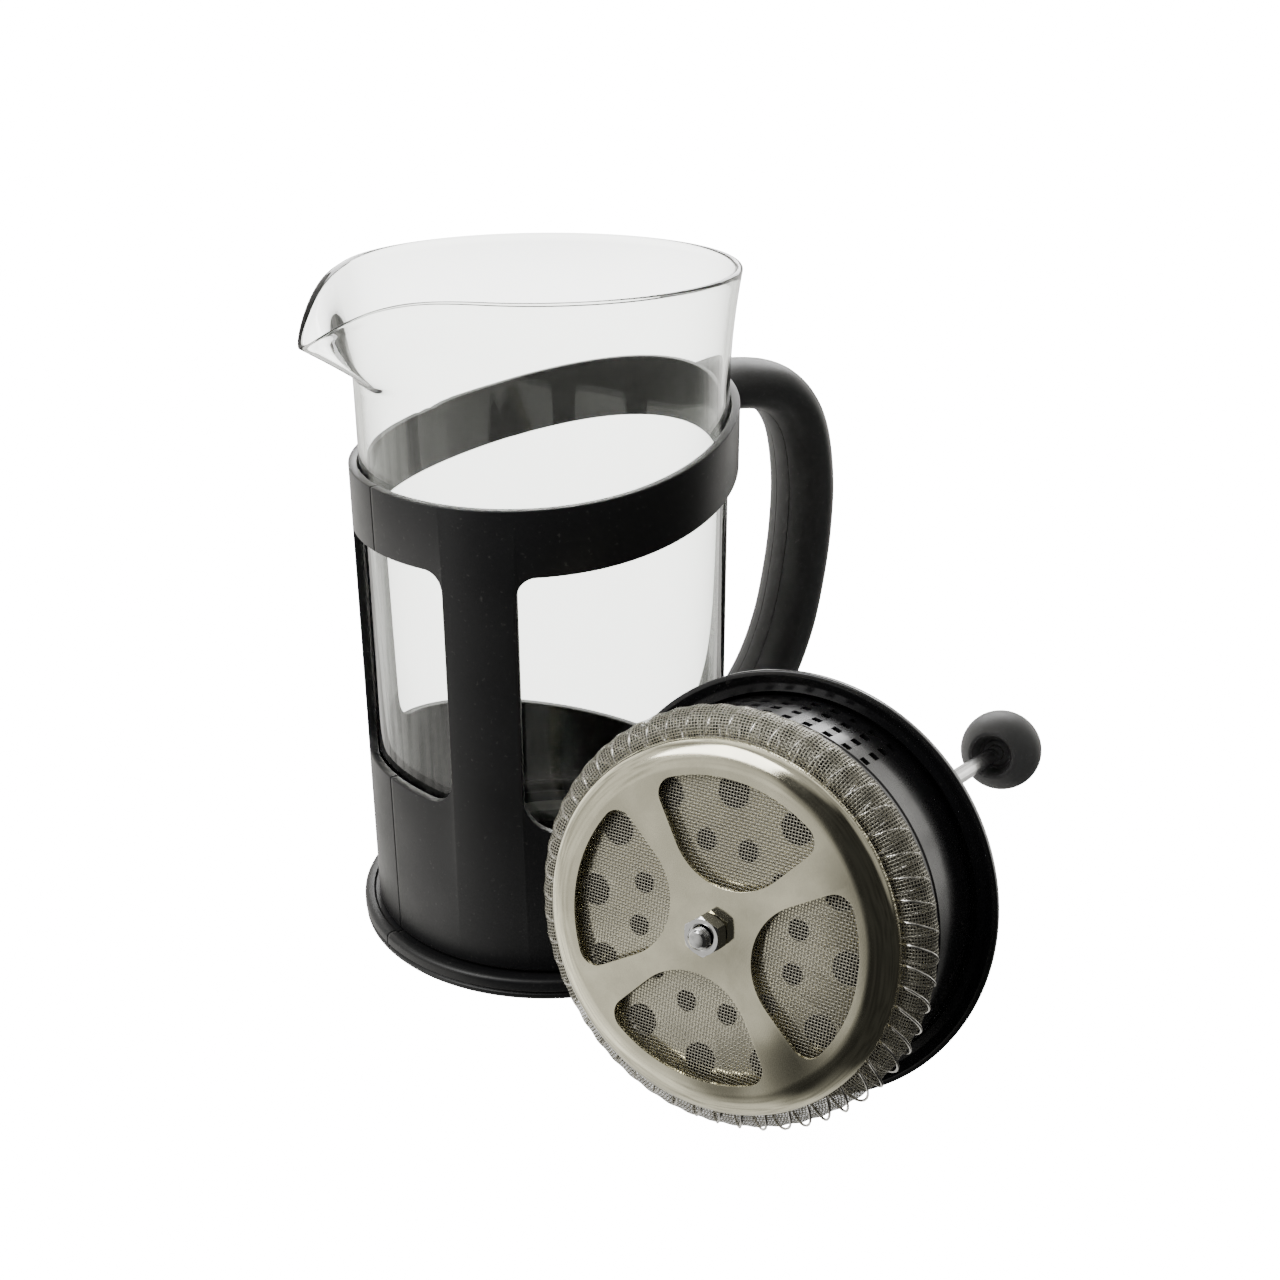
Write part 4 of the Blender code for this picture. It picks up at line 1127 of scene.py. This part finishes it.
# %% Tree: rings of holes
def hole_rings():
    tree, given, out = new_tree("hole_rings", [
        ("Count", "NodeSocketInt"), ("Outer Ring", FLOAT), ("Outer Hole", FLOAT),
        ("Inner Ring", FLOAT), ("Inner Hole", FLOAT), ("Level", FLOAT), ("Depth", FLOAT),
        ("Finish", "NodeSocketMaterial")])
    get = given.outputs
    step = sum_of(tree, "DIVIDE", TURN, get["Count"])
    index = add(tree, "GeometryNodeInputIndex").outputs["Index"]
    joined = add(tree, "GeometryNodeJoinGeometry")
    for ring, hole, start in (("Outer Ring", "Outer Hole", 0.0),
                              ("Inner Ring", "Inner Hole", 0.5)):
        angle = sum_of(tree, "MULTIPLY", sum_of(tree, "ADD", index, start), step)
        place = round_axis(tree, angle, get[ring], get["Level"])
        punch = add(tree, "GeometryNodeMeshCylinder", {
            "Vertices": 32, "Radius": get[hole], "Depth": get["Depth"]})
        punches = stand_at(tree, get["Count"], place, punch.outputs["Mesh"])
        tree.links.new(punches, joined.inputs["Geometry"])
    end_tree(tree, cut_away(tree, get, joined.outputs["Geometry"]), out, given)
    return tree


# %% The perforated plate
dish_size = Span("perforated_plate", lid_frame)
PLATE_THICKNESS = 0.8 * MM
DISH_SIDES = 144
HOLES = 12
HOLE_RING_INSET = 7.6 * MM
HOLE_RING_STEP = 11.5 * MM
OUTER_HOLE = 3.75 * MM
INNER_HOLE = 2.5 * MM


def make_dish():
    rim, low, high, bore = dish_size.outer, dish_size.low, dish_size.high, dish_size.inner
    top = low + PLATE_THICKNESS
    item = link("perforated_dish", turned([
        (bore, low, 0), (rim, low, 1.2 * MM), (rim, high, 0.2 * MM),
        (rim - PLATE_THICKNESS, high, 0.2 * MM), (rim - PLATE_THICKNESS, top, 0.5 * MM),
        (bore, top, 0)], DISH_SIDES))
    outer_ring = rim - HOLE_RING_INSET
    run_tree(item, hole_rings(), {
        "Count": HOLES, "Outer Ring": outer_ring, "Outer Hole": OUTER_HOLE,
        "Inner Ring": outer_ring - HOLE_RING_STEP, "Inner Hole": INNER_HOLE,
        "Level": (low + top) / 2, "Depth": PLATE_THICKNESS * 4, "Finish": plate_steel})
    return settle(item)


finish(make_dish(), "perforated_dish", plate_steel, "plunger", ["perforated_plate"],
       lid_frame, sharp=30)

# %% [markdown]
# ## The mesh
#
# The mesh is a disc of woven wire. Its edge is rolled round the sealing coil, and it isn't
# stretched tight, so the roll wavers a little from turn to turn of the coil. The sheet has
# no thickness of its own here: it is a single skin whose weave comes from the material. Its
# UV map counts metres across the disc and metres along the roll.

# %% The mesh
mesh_size = Span("mesh_screen", lid_frame)
MESH_WRAP = 5.05 * MM
WRAP_START = math.radians(-112)
WRAP_END = math.radians(148)
COIL_TURNS = 54
COIL_RADIUS = 4.4 * MM
COIL_WIRE = 0.3 * MM
SLACK_SIDE = math.radians(222)
SLACK_SPREAD = math.radians(62)
SLACK = 1.5 * MM
SKIN_INSET = 0.35 * MM
RIPPLE = 0.14 * MM
WAVER = 0.28 * MM
WAVER_SCALE = 2.2
WAVER_LAYER = 3.1
SLIP_START = 0.08
FLAT_SHARE = 0.88
MESH_SIDES = 648
WRAP_STEPS = 20

ring_radius = mesh_size.outer - MESH_WRAP
coil_size = Span("coil_spring", lid_frame)
ring_level = (coil_size.low + coil_size.high) / 2
print(f"mesh: {mesh_size.outer / MM:.1f} mm radius, coil ring {ring_radius / MM:.1f} mm")


def disc_level():
    """Height of the mesh's flat part, read near its middle."""
    back = lid_frame.inverted()
    points = [back @ v.co for v in frame["nodes"]["mesh_screen"].data.vertices]
    return min(p.z for p in points if math.hypot(p.x, p.y) < ring_radius / 2)


def sag(angle, share):
    """The loose roll's waver: it pulls in between the coil's turns, and most where it slips."""
    off = abs(math.remainder(angle - SLACK_SIDE, TURN)) / SLACK_SPREAD
    slip = -SLACK * (0.5 + 0.5 * math.cos(math.pi * min(1.0, off)))
    ripple = RIPPLE * math.cos(COIL_TURNS * angle)
    drift = WAVER * noise.noise(Vector((
        math.cos(angle) * WAVER_SCALE, math.sin(angle) * WAVER_SCALE, WAVER_LAYER)))
    return (ripple + drift) * math.sin(math.pi * share) + slip * ease(share / SLIP_START)


def mesh_rows():
    """Rings of the flat disc, then rings of the edge rolled round the coil."""
    level = disc_level()
    for share in (0.08, 0.3, 0.55, 0.8, 1.0):
        yield hoop(share * ring_radius * FLAT_SHARE, level, MESH_SIDES)
    for k in range(WRAP_STEPS + 1):
        share = k / WRAP_STEPS
        turn = WRAP_START + (WRAP_END - WRAP_START) * share
        row = []
        for i in range(MESH_SIDES):
            angle = TURN * i / MESH_SIDES
            wrap = MESH_WRAP - SKIN_INSET + sag(angle, share)
            r = ring_radius + wrap * math.cos(turn)
            row.append((r * math.cos(angle), r * math.sin(angle),
                        ring_level + wrap * math.sin(turn)))
        yield row


def make_mesh():
    shape = bmesh.new()
    lay = shape.loops.layers.uv.new("lay")
    grid = [[shape.verts.new(point) for point in row] for row in mesh_rows()]
    first_rolled = len(grid) - WRAP_STEPS - 1
    roll_step = MESH_WRAP * (WRAP_END - WRAP_START) / WRAP_STEPS
    for row, (one, two) in enumerate(zip(grid, grid[1:])):
        for i in range(MESH_SIDES):
            face = shape.faces.new((one[i - 1], one[i], two[i], two[i - 1]))
            rolled = row - first_rolled
            right = ring_radius * TURN * (i or MESH_SIDES) / MESH_SIDES
            left = right - ring_radius * TURN / MESH_SIDES
            lays = [(left, rolled), (right, rolled), (right, rolled + 1), (left, rolled + 1)]
            for loop, (along, steps) in zip(face.loops, lays):
                loop[lay].uv = loop.vert.co.xy if rolled < 0 else (along, steps * roll_step)
    return link("mesh", plain_mesh(shape, "mesh", turn_outwards=False))


finish(make_mesh(), "mesh", mesh_wire, "plunger", ["mesh_screen"], lid_frame,
       sharp=70)

# %% [markdown]
# ## The sealing coil
#
# A thin wire is wound in 54 turns round a ring, and the mesh is rolled over it. A coil is
# a rule, so the tree takes a plain circle with a point for every step, moves each point to
# its place on the winding by its index, and runs a round wire along the result. A little
# noise makes the turns lean, and they lean most on the side where the roll is loose.

# %% Tree: a wound ring
def wire_along(tree, line, place, sides, radius, caps=False):
    """Move a line's points to their places and run a round wire along them."""
    moved = add(tree, "GeometryNodeSetPosition", {"Geometry": line, "Position": place})
    curve = add(tree, "GeometryNodeMeshToCurve", {"Mesh": moved.outputs["Geometry"]})
    section = add(tree, "GeometryNodeCurvePrimitiveCircle", {"Resolution": sides,
                                                             "Radius": radius})
    return add(tree, "GeometryNodeCurveToMesh", {
        "Curve": curve.outputs["Curve"], "Profile Curve": section.outputs["Curve"],
        "Fill Caps": caps}).outputs["Mesh"]


def wound_ring():
    tree, given, out = new_tree("wound_ring", [
        ("Ring Radius", FLOAT), ("Coil Radius", FLOAT), ("Level", FLOAT),
        ("Turns", "NodeSocketInt"), ("Points per Turn", "NodeSocketInt"), ("Wire", FLOAT),
        ("Lean", FLOAT), ("Loose Lean", FLOAT), ("Loose Side", FLOAT),
        ("Finish", "NodeSocketMaterial")])
    get = given.outputs
    total = sum_of(tree, "MULTIPLY", get["Turns"], get["Points per Turn"])
    index = add(tree, "GeometryNodeInputIndex").outputs["Index"]
    straight = sum_of(tree, "MULTIPLY", sum_of(tree, "DIVIDE", index, total), TURN)
    winding = sum_of(tree, "MULTIPLY", straight, get["Turns"])
    jitter = add(tree, "ShaderNodeTexNoise", {"W": straight, "Scale": 9.0, "Detail": 1.0},
                 noise_dimensions="1D")
    facing = sum_of(tree, "COSINE", sum_of(tree, "SUBTRACT", straight, get["Loose Side"]))
    loose = sum_of(tree, "POWER", sum_of(tree, "MAXIMUM", facing, 0.0), 2.0)
    amount = sum_of(tree, "ADD", get["Lean"],
                    sum_of(tree, "MULTIPLY", loose, get["Loose Lean"]))
    uneven = sum_of(tree, "ADD", jitter.outputs["Fac"], 0.5)
    lean = sum_of(tree, "MULTIPLY", sum_of(tree, "MULTIPLY", amount, uneven),
                  sum_of(tree, "SINE", winding))
    around = sum_of(tree, "ADD", straight, lean)
    reach = sum_of(tree, "ADD", get["Ring Radius"], sum_of(
        tree, "MULTIPLY", get["Coil Radius"], sum_of(tree, "COSINE", winding)))
    lift = sum_of(tree, "ADD", get["Level"], sum_of(
        tree, "MULTIPLY", get["Coil Radius"], sum_of(tree, "SINE", winding)))
    circle = add(tree, "GeometryNodeMeshCircle", {"Vertices": total, "Radius": 1.0})
    wire = wire_along(tree, circle.outputs["Mesh"], round_axis(tree, around, reach, lift),
                      6, get["Wire"])
    end_tree(tree, wire, out, given)
    return tree


# %% The sealing coil
POINTS_PER_TURN = 24
COIL_LEAN = 0.012
LOOSE_LEAN = 0.075


def make_coil():
    item = link("sealing_coil", bpy.data.meshes.new("sealing_coil"))
    run_tree(item, wound_ring(), {
        "Ring Radius": ring_radius, "Coil Radius": COIL_RADIUS, "Level": ring_level,
        "Turns": COIL_TURNS, "Points per Turn": POINTS_PER_TURN, "Wire": COIL_WIRE,
        "Lean": COIL_LEAN, "Loose Lean": LOOSE_LEAN, "Loose Side": SLACK_SIDE,
        "Finish": wire_steel})
    return settle(item)


finish(make_coil(), "sealing_coil", wire_steel, "plunger", ["coil_spring"],
       lid_frame, sharp=60)

# %% [markdown]
# ## The cross plate
#
# The plate at the bottom is pressed from one sheet: a rounded shoulder, a short wall, and
# four windows between broad spokes. Each window has straight sides, two small corners at
# the rim and a round end at the hub. It is an outline of arcs, pressed out with a Boolean,
# and a fine bevel gives its edge the bright line that a stamped edge has.

# %% The cross plate
plate_size = Span("cross_plate", lid_frame)
CROSS_RIM = 7.6 * MM
CROSS_SHOULDER = 3.2 * MM
SHOULDER_REACH = 6.2 * MM
WINDOW_HALF_ANGLE = math.radians(36.5)
WINDOW_CORNER = 4.0 * MM
WINDOW_HUB_INSET = 8.9 * MM
WINDOW_TURN = math.radians(5.0)
HUB_STEPS = 22
WINDOW_CORNER_STEPS = 10
RIM_STEPS = 24
SHOULDER_STEPS = 14
CROSS_SIDES = 176
LIP_ROUNDING = 0.25 * MM
CUT_BEVEL = 0.18 * MM


def arc(centre, radius, start, end, steps):
    return [(centre[0] + radius * math.cos(start + (end - start) * i / steps),
             centre[1] + radius * math.sin(start + (end - start) * i / steps))
            for i in range(steps + 1)]


def window_outline():
    """The window that lies along X: a round hub end, two corners and an arc at the rim."""
    half = WINDOW_HALF_ANGLE
    outer = plate_size.outer - CROSS_RIM
    hub = outer - WINDOW_HUB_INSET
    points = arc((hub, 0), hub * math.sin(half), math.pi / 2 + half,
                 3 * math.pi / 2 - half, HUB_STEPS)
    reach = outer - WINDOW_CORNER
    turn = half - math.asin(WINDOW_CORNER / reach)
    corner = (reach * math.cos(turn), reach * math.sin(turn))
    upper = arc(corner, WINDOW_CORNER, turn, math.pi / 2 + half,
                WINDOW_CORNER_STEPS)
    points += [(x, -y) for x, y in reversed(upper)]
    points += arc((0, 0), outer, -turn, turn, RIM_STEPS)[1:-1]
    return points + upper


def make_windows(low, high):
    shape = bmesh.new()
    for quarter in range(4):
        turn = WINDOW_TURN + TURN / 4 * quarter
        outline = [(x * math.cos(turn) - y * math.sin(turn),
                    x * math.sin(turn) + y * math.cos(turn)) for x, y in window_outline()]
        base = [shape.verts.new((x, y, low)) for x, y in outline]
        top = [shape.verts.new((x, y, high)) for x, y in outline]
        shape.faces.new(base)
        shape.faces.new(top)
        for i in range(len(outline)):
            shape.faces.new((base[i - 1], base[i], top[i], top[i - 1]))
    return link("windows", plain_mesh(shape, "windows"))


def pressed_profile(bore, rim, face, under):
    """The pressing's outline from the bore to its wall, with a wide round shoulder."""
    start, drop = rim - SHOULDER_REACH, CROSS_SHOULDER - under
    return [(bore, face + under, 0)] + [
        (start + SHOULDER_REACH * math.sin(t), face + under + drop * (1 - math.cos(t)), 0)
        for t in (math.pi / 2 * k / SHOULDER_STEPS for k in range(SHOULDER_STEPS + 1))]


def make_cross_plate():
    rim, face, high, bore = plate_size.outer, plate_size.low, plate_size.high, plate_size.inner
    inside = rim - PLATE_THICKNESS
    outer = pressed_profile(bore, rim, face, 0.0)
    inner = pressed_profile(bore, inside, face, PLATE_THICKNESS)
    item = link("cross_plate_pressed", turned(
        outer + [(rim, high, LIP_ROUNDING), (inside, high, LIP_ROUNDING)] + inner[::-1],
        CROSS_SIDES))
    windows = make_windows(face - PLATE_THICKNESS, face + PLATE_THICKNESS * 2)
    cut = item.modifiers.new("windows", "BOOLEAN")
    cut.operation = "DIFFERENCE"
    cut.solver = "EXACT"
    cut.object = windows
    bevel(item, CUT_BEVEL, 2, 50)
    settle(item)
    bpy.data.objects.remove(windows, do_unlink=True)
    return item


finish(make_cross_plate(), "cross_plate_pressed", plate_steel, "plunger", ["cross_plate"],
       lid_frame, sharp=22)

# %% [markdown]
# ## The nut and the rod
#
# The nut is a hexagon whose corners are turned off at both ends, which leaves the curved
# chamfer lines that every nut has. Taking the smaller of a hexagon's and a cone's radius in
# each direction gives exactly that. The rod ends in a thread that stands out of the nut,
# and the thread is a wire wound up the rod by another small tree.

# %% The nut
nut_size = Span("hex_nut", lid_frame)
rod_size = Span("rod", lid_frame)
NUT_FLATS = 8 * MM
NUT_TURN = math.radians(20)
NUT_SIDES = 144
CHAMFER_HEIGHT = 0.55 * MM
CHAMFER_WIDTH = 0.9 * MM
CHAMFER_STEPS = 5
COUNTERSINK = 0.4 * MM
NUT_PLAY = 0.15 * MM


def hexagon(height, cone):
    """The hexagon's outline at a height, cut back to the cone's radius."""
    row = []
    for i in range(NUT_SIDES):
        angle = TURN * i / NUT_SIDES
        off = math.remainder(angle - NUT_TURN - math.pi / 6, math.pi / 3)
        r = min(NUT_FLATS / 2 / math.cos(off), cone)
        row.append((r * math.cos(angle), r * math.sin(angle), height))
    return row


def make_nut():
    low, high, bore = nut_size.low, nut_size.high, rod_size.outer + NUT_PLAY
    shares = [k / CHAMFER_STEPS for k in range(CHAMFER_STEPS + 1)]
    lower = [hexagon(low + CHAMFER_HEIGHT * share, NUT_FLATS / 2 + CHAMFER_WIDTH * share)
             for share in shares]
    upper = [hexagon(high - CHAMFER_HEIGHT * share, NUT_FLATS / 2 + CHAMFER_WIDTH * share)
             for share in reversed(shares)]
    rows = [hoop(bore + COUNTERSINK, low, NUT_SIDES)] + lower + upper
    rows += [hoop(radius, height, NUT_SIDES) for radius, height in (
        (bore + COUNTERSINK, high), (bore, high - COUNTERSINK), (bore, low + COUNTERSINK))]
    shape = bmesh.new()
    skin(shape, rows, closed=True)
    return link("nut", plain_mesh(shape, "nut"))


finish(make_nut(), "nut", rod_steel, "plunger", ["hex_nut"], lid_frame,
       sharp=22)

# %% Tree: a thread
def thread_tree():
    tree, given, out = new_tree("thread", [
        ("Radius", FLOAT), ("Pitch", FLOAT), ("Turns", FLOAT), ("Start", FLOAT),
        ("Points", "NodeSocketInt"), ("Ridge", FLOAT), ("Finish", "NodeSocketMaterial")])
    get = given.outputs
    share = sum_of(tree, "DIVIDE", add(tree, "GeometryNodeInputIndex").outputs["Index"],
                   get["Points"])
    turns = sum_of(tree, "MULTIPLY", share, get["Turns"])
    angle = sum_of(tree, "MULTIPLY", turns, TURN)
    place = round_axis(tree, angle, get["Radius"], sum_of(
        tree, "ADD", get["Start"], sum_of(tree, "MULTIPLY", turns, get["Pitch"])))
    line = add(tree, "GeometryNodeMeshLine", {"Count": get["Points"]})
    ridge = wire_along(tree, line.outputs["Mesh"], place, 8, get["Ridge"], caps=True)
    joined = add(tree, "GeometryNodeJoinGeometry")
    tree.links.new(ridge, joined.inputs["Geometry"])
    tree.links.new(get["Geometry"], joined.inputs["Geometry"])
    end_tree(tree, joined.outputs["Geometry"], out, given)
    return tree


# %% The rod
ROD_SIDES = 64
THREAD_PITCH = 0.7 * MM
THREAD_RIDGE = 0.22 * MM
THREAD_TURNS = 2.6
THREAD_POINTS = 130
THREAD_START = 0.65 * MM
CORE_SHARE = 0.9
RIDGE_SHARE = 0.88
TIP_SHARE = 0.68
TAIL_SHARE = 0.8


def make_rod():
    radius, low, high = rod_size.outer, rod_size.low, rod_size.high
    core, shoulder = radius * CORE_SHARE, nut_size.high
    item = link("plunger_rod", turned([
        (0, low, 0), (radius * TIP_SHARE, low + 0.1 * MM, 0.2 * MM),
        (core, low + 0.6 * MM, 0.2 * MM), (core, low + 1.2 * MM, 0),
        (core, shoulder + 0.2 * MM, 0), (radius, shoulder + 0.6 * MM, 0.1 * MM),
        (radius, high - 0.5 * MM, 0.3 * MM), (radius * TAIL_SHARE, high, 0), (0, high, 0)],
        ROD_SIDES))
    run_tree(item, thread_tree(), {
        "Radius": radius * RIDGE_SHARE, "Pitch": THREAD_PITCH, "Turns": THREAD_TURNS,
        "Start": low + THREAD_START, "Points": THREAD_POINTS, "Ridge": THREAD_RIDGE,
        "Finish": rod_steel})
    return settle(item)


finish(make_rod(), "plunger_rod", rod_steel, "plunger", ["rod"],
       lid_frame, sharp=45)

# %% [markdown]
# ## The knob
#
# The knob is a ball of matt charcoal plastic with a flat, ringed recess where the rod goes
# in. It is turned like the rest, with enough sides to stay round in close views.

# %% The knob
knob_size = Span("knob", lid_frame)
KNOB_FLAT = 10.6 * MM
KNOB_RECESS = 6.6 * MM
RECESS_DEPTH = 5.5 * MM
RECESS_TAPER = 1.6 * MM
KNOB_BORE = 2.55 * MM
BORE_DEPTH = 9 * MM
COLLAR_RADIUS = 3.9 * MM
COLLAR_RISE = 0.6 * MM
BALL_STEPS = 40
KNOB_SIDES = 128


def make_knob():
    radius = knob_size.outer
    centre = knob_size.high - radius
    start = -math.asin(KNOB_FLAT / radius)
    ball = arc((0, centre), radius, start, math.pi / 2, BALL_STEPS)[1:-1]
    flat = centre - KNOB_FLAT
    recess = flat + RECESS_DEPTH
    return turned([
        (0, recess + BORE_DEPTH, 0), (KNOB_BORE, recess + BORE_DEPTH, 0),
        (KNOB_BORE, recess - COLLAR_RISE, 0), (COLLAR_RADIUS, recess - COLLAR_RISE, 0.3 * MM),
        (KNOB_RECESS - RECESS_TAPER, recess, 0.6 * MM), (KNOB_RECESS, flat + 0.2 * MM, 0.5 * MM),
        (radius * math.cos(start), flat, 0.5 * MM)] + [(r, z, 0) for r, z in ball]
        + [(0, centre + radius, 0)], KNOB_SIDES)


finish(link("ball_knob", make_knob()), "ball_knob", knob_black, "plunger", ["knob"],
       lid_frame, sharp=50)

# %% [markdown]
# ## Pieces that keep their shape
#
# Small rings, the pad under the glass, the screws and the knob's brass insert are simple
# turned parts that hardly show. Their working shapes are right already, so they only get
# their finishes.

# %% Finishes for the small pieces
small_finishes = {
    "beaker_pad": pad_rubber, "handle_screw_upper": rod_steel,
    "handle_screw_lower": rod_steel, "knob_insert": insert_brass, "rod_collar": rod_steel,
    "upper_washer": plate_steel, "hub_spacer": plate_steel}
for node, material in small_finishes.items():
    item = frame["nodes"][node]
    item.data.materials.clear()
    item.data.materials.append(material)
print("small pieces:", len(small_finishes))

# %% [markdown]
# ## Light, floor and camera
#
# The press stands on white, as for a catalogue. What shapes it is what it mirrors: a wide
# light on the left, a brighter one behind, weaker ones on the right and overhead, and one
# from below, as off a white table. The side towards the viewer is left dark, so that the
# black plastic stays black. The sky holds these lights as soft patches in given directions.
# The floor and the sky are far brighter to the eye than in reflections, which keeps the
# ground clean and white.

# %% Floor
WHITE_SEEN = 16.0
WHITE_THROUGH_MESH = 0.7
WHITE_THROUGH_GLASS = 3.8
WHITE_IN_GLASS_EDGES = 1.7
FLOOR_REACH = 40.0
FLOOR_LEVEL = -0.2 * MM


def seen_directly(tree):
    """How bright white is to the eye, behind the mesh, through glass and in its edges."""
    path = add(tree, "ShaderNodeLightPath").outputs
    through_mesh = sum_of(tree, "GREATER_THAN", path["Transparent Depth"], 0.5)
    to_eye = scaled(tree, through_mesh, WHITE_SEEN, WHITE_THROUGH_MESH)
    eye = sum_of(tree, "MULTIPLY", path["Is Camera Ray"], to_eye)
    turned_back = sum_of(tree, "ADD", path["Glossy Depth"], path["Diffuse Depth"])
    straight = sum_of(tree, "LESS_THAN", turned_back, 0.5)
    glass = sum_of(tree, "MULTIPLY", sum_of(
        tree, "MULTIPLY", path["Is Transmission Ray"], straight), WHITE_THROUGH_GLASS)
    few = sum_of(tree, "LESS_THAN", path["Transmission Depth"], 2.5)
    inside = sum_of(tree, "GREATER_THAN", path["Glossy Depth"], 1.5)
    edges = sum_of(tree, "MULTIPLY", sum_of(tree, "MULTIPLY", few, inside),
                   WHITE_IN_GLASS_EDGES)
    edges = sum_of(tree, "MULTIPLY", edges, path["Is Transmission Ray"])
    return sum_of(tree, "MAXIMUM", eye, sum_of(tree, "MAXIMUM", glass, edges))


def make_floor():
    mesh = bpy.data.meshes.new("floor")
    corners = [(x * FLOOR_REACH, y * FLOOR_REACH, FLOOR_LEVEL)
               for x, y in ((-1, -1), (1, -1), (1, 1), (-1, 1))]
    mesh.from_pydata(corners, [], [(0, 1, 2, 3)])
    floor = link("floor", mesh)
    floor.visible_glossy = False
    material, tree, shader = new_material("floor_white")
    shader.inputs["Base Color"].default_value = (0.8, 0.8, 0.8, 1)
    shader.inputs["Roughness"].default_value = 0.7
    shader.inputs["Emission Color"].default_value = (1, 1, 1, 1)
    tree.links.new(seen_directly(tree), shader.inputs["Emission Strength"])
    mesh.materials.append(material)
    floor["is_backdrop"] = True


make_floor()

# %% Sky and lights
SKY_BASE = 0.035
# azimuth, height, half width of the full patch and of its fade (degrees), strength
SKY_PATCHES = [(142, -3, 34, 51, 0.85), (53, 14, 36, 74, 1.5), (5, -4, 8, 26, 1.2),
               (318, 42, 16, 42, 0.4), (150, 74, 18, 40, 0.5), (120, -62, 32, 60, 0.85)]


def patch(tree, direction, azimuth, height, full, fade, strength):
    """A soft patch of light in one direction."""
    turn, lift = math.radians(azimuth), math.radians(height)
    axis = (math.cos(turn) * math.cos(lift), math.sin(turn) * math.cos(lift), math.sin(lift))
    near = add(tree, "ShaderNodeVectorMath", {0: direction, 1: axis},
               operation="DOT_PRODUCT").outputs["Value"]
    return scaled(tree, near, 0.0, strength, math.cos(math.radians(fade)),
                  math.cos(math.radians(full)), interpolation_type="SMOOTHSTEP")


def make_sky():
    world = bpy.data.worlds.new("studio_sky")
    bpy.context.scene.world = world
    world.use_nodes = True
    tree = world.node_tree
    direction = add(tree, "ShaderNodeTexCoord").outputs["Generated"]
    light = SKY_BASE
    for values in SKY_PATCHES:
        light = sum_of(tree, "ADD", light, patch(tree, direction, *values))
    streaks = speckle(tree, direction, scale=9.0, detail=2.0)
    streaks = scaled(tree, streaks, 0.5, 1.0, start=0.38, end=0.54)
    light = sum_of(tree, "MULTIPLY", light, streaks)
    light = sum_of(tree, "MAXIMUM", light, seen_directly(tree))
    back = tree.nodes["Background"]
    back.inputs["Color"].default_value = (1.0, 0.985, 0.94, 1)
    tree.links.new(light, back.inputs["Strength"])


make_sky()


def softbox(name, place, aim, size, power):
    light = bpy.data.lights.new(name, "AREA")
    light.shape = "RECTANGLE"
    light.size, light.size_y = size
    light.energy = power
    item = bpy.data.objects.new(name, light)
    item.location = place
    item.rotation_euler = (Vector(aim) - Vector(place)).to_track_quat("-Z", "Y").to_euler()
    bpy.context.scene.collection.objects.link(item)


softbox("key", (-0.9, 0.1, 1.0), (0, 0, 0.08), (0.6, 0.9), 10.0)
softbox("rim", (0.75, 0.75, 0.55), (0, 0, 0.1), (0.9, 0.4), 9.0)

# %% Camera
VIEW_TURN = math.radians(-36.5)
VIEW_DOWN = math.radians(23.006)
CAMERA_PLACE = Vector((0.0268, -0.4037, 0.2508))
LENS = 44.99
SENSOR = 36
SHIFT = -0.0058

camera_data = bpy.data.cameras.new("camera")
camera_data.sensor_width = SENSOR
camera_data.lens = LENS
camera_data.shift_x = SHIFT
camera = bpy.data.objects.new("camera", camera_data)
camera.location = Matrix.Rotation(VIEW_TURN, 3, "Z") @ CAMERA_PLACE
camera.rotation_euler = (math.pi / 2 - VIEW_DOWN, 0, VIEW_TURN)
bpy.context.scene.collection.objects.link(camera)
bpy.context.scene.camera = camera

# %% [markdown]
# ## Closing the lesson
#
# The model dressed here must fill the same space as the working model, so both boxes are measured
# and printed.

# %% Sizes and the end
visual_box = [list(corner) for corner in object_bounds()]
({"cad": [[float(x) for x in corner] for corner in cad_box],
           "visual": [[float(x) for x in corner] for corner in visual_box]})
print("visual box:", visual_box)
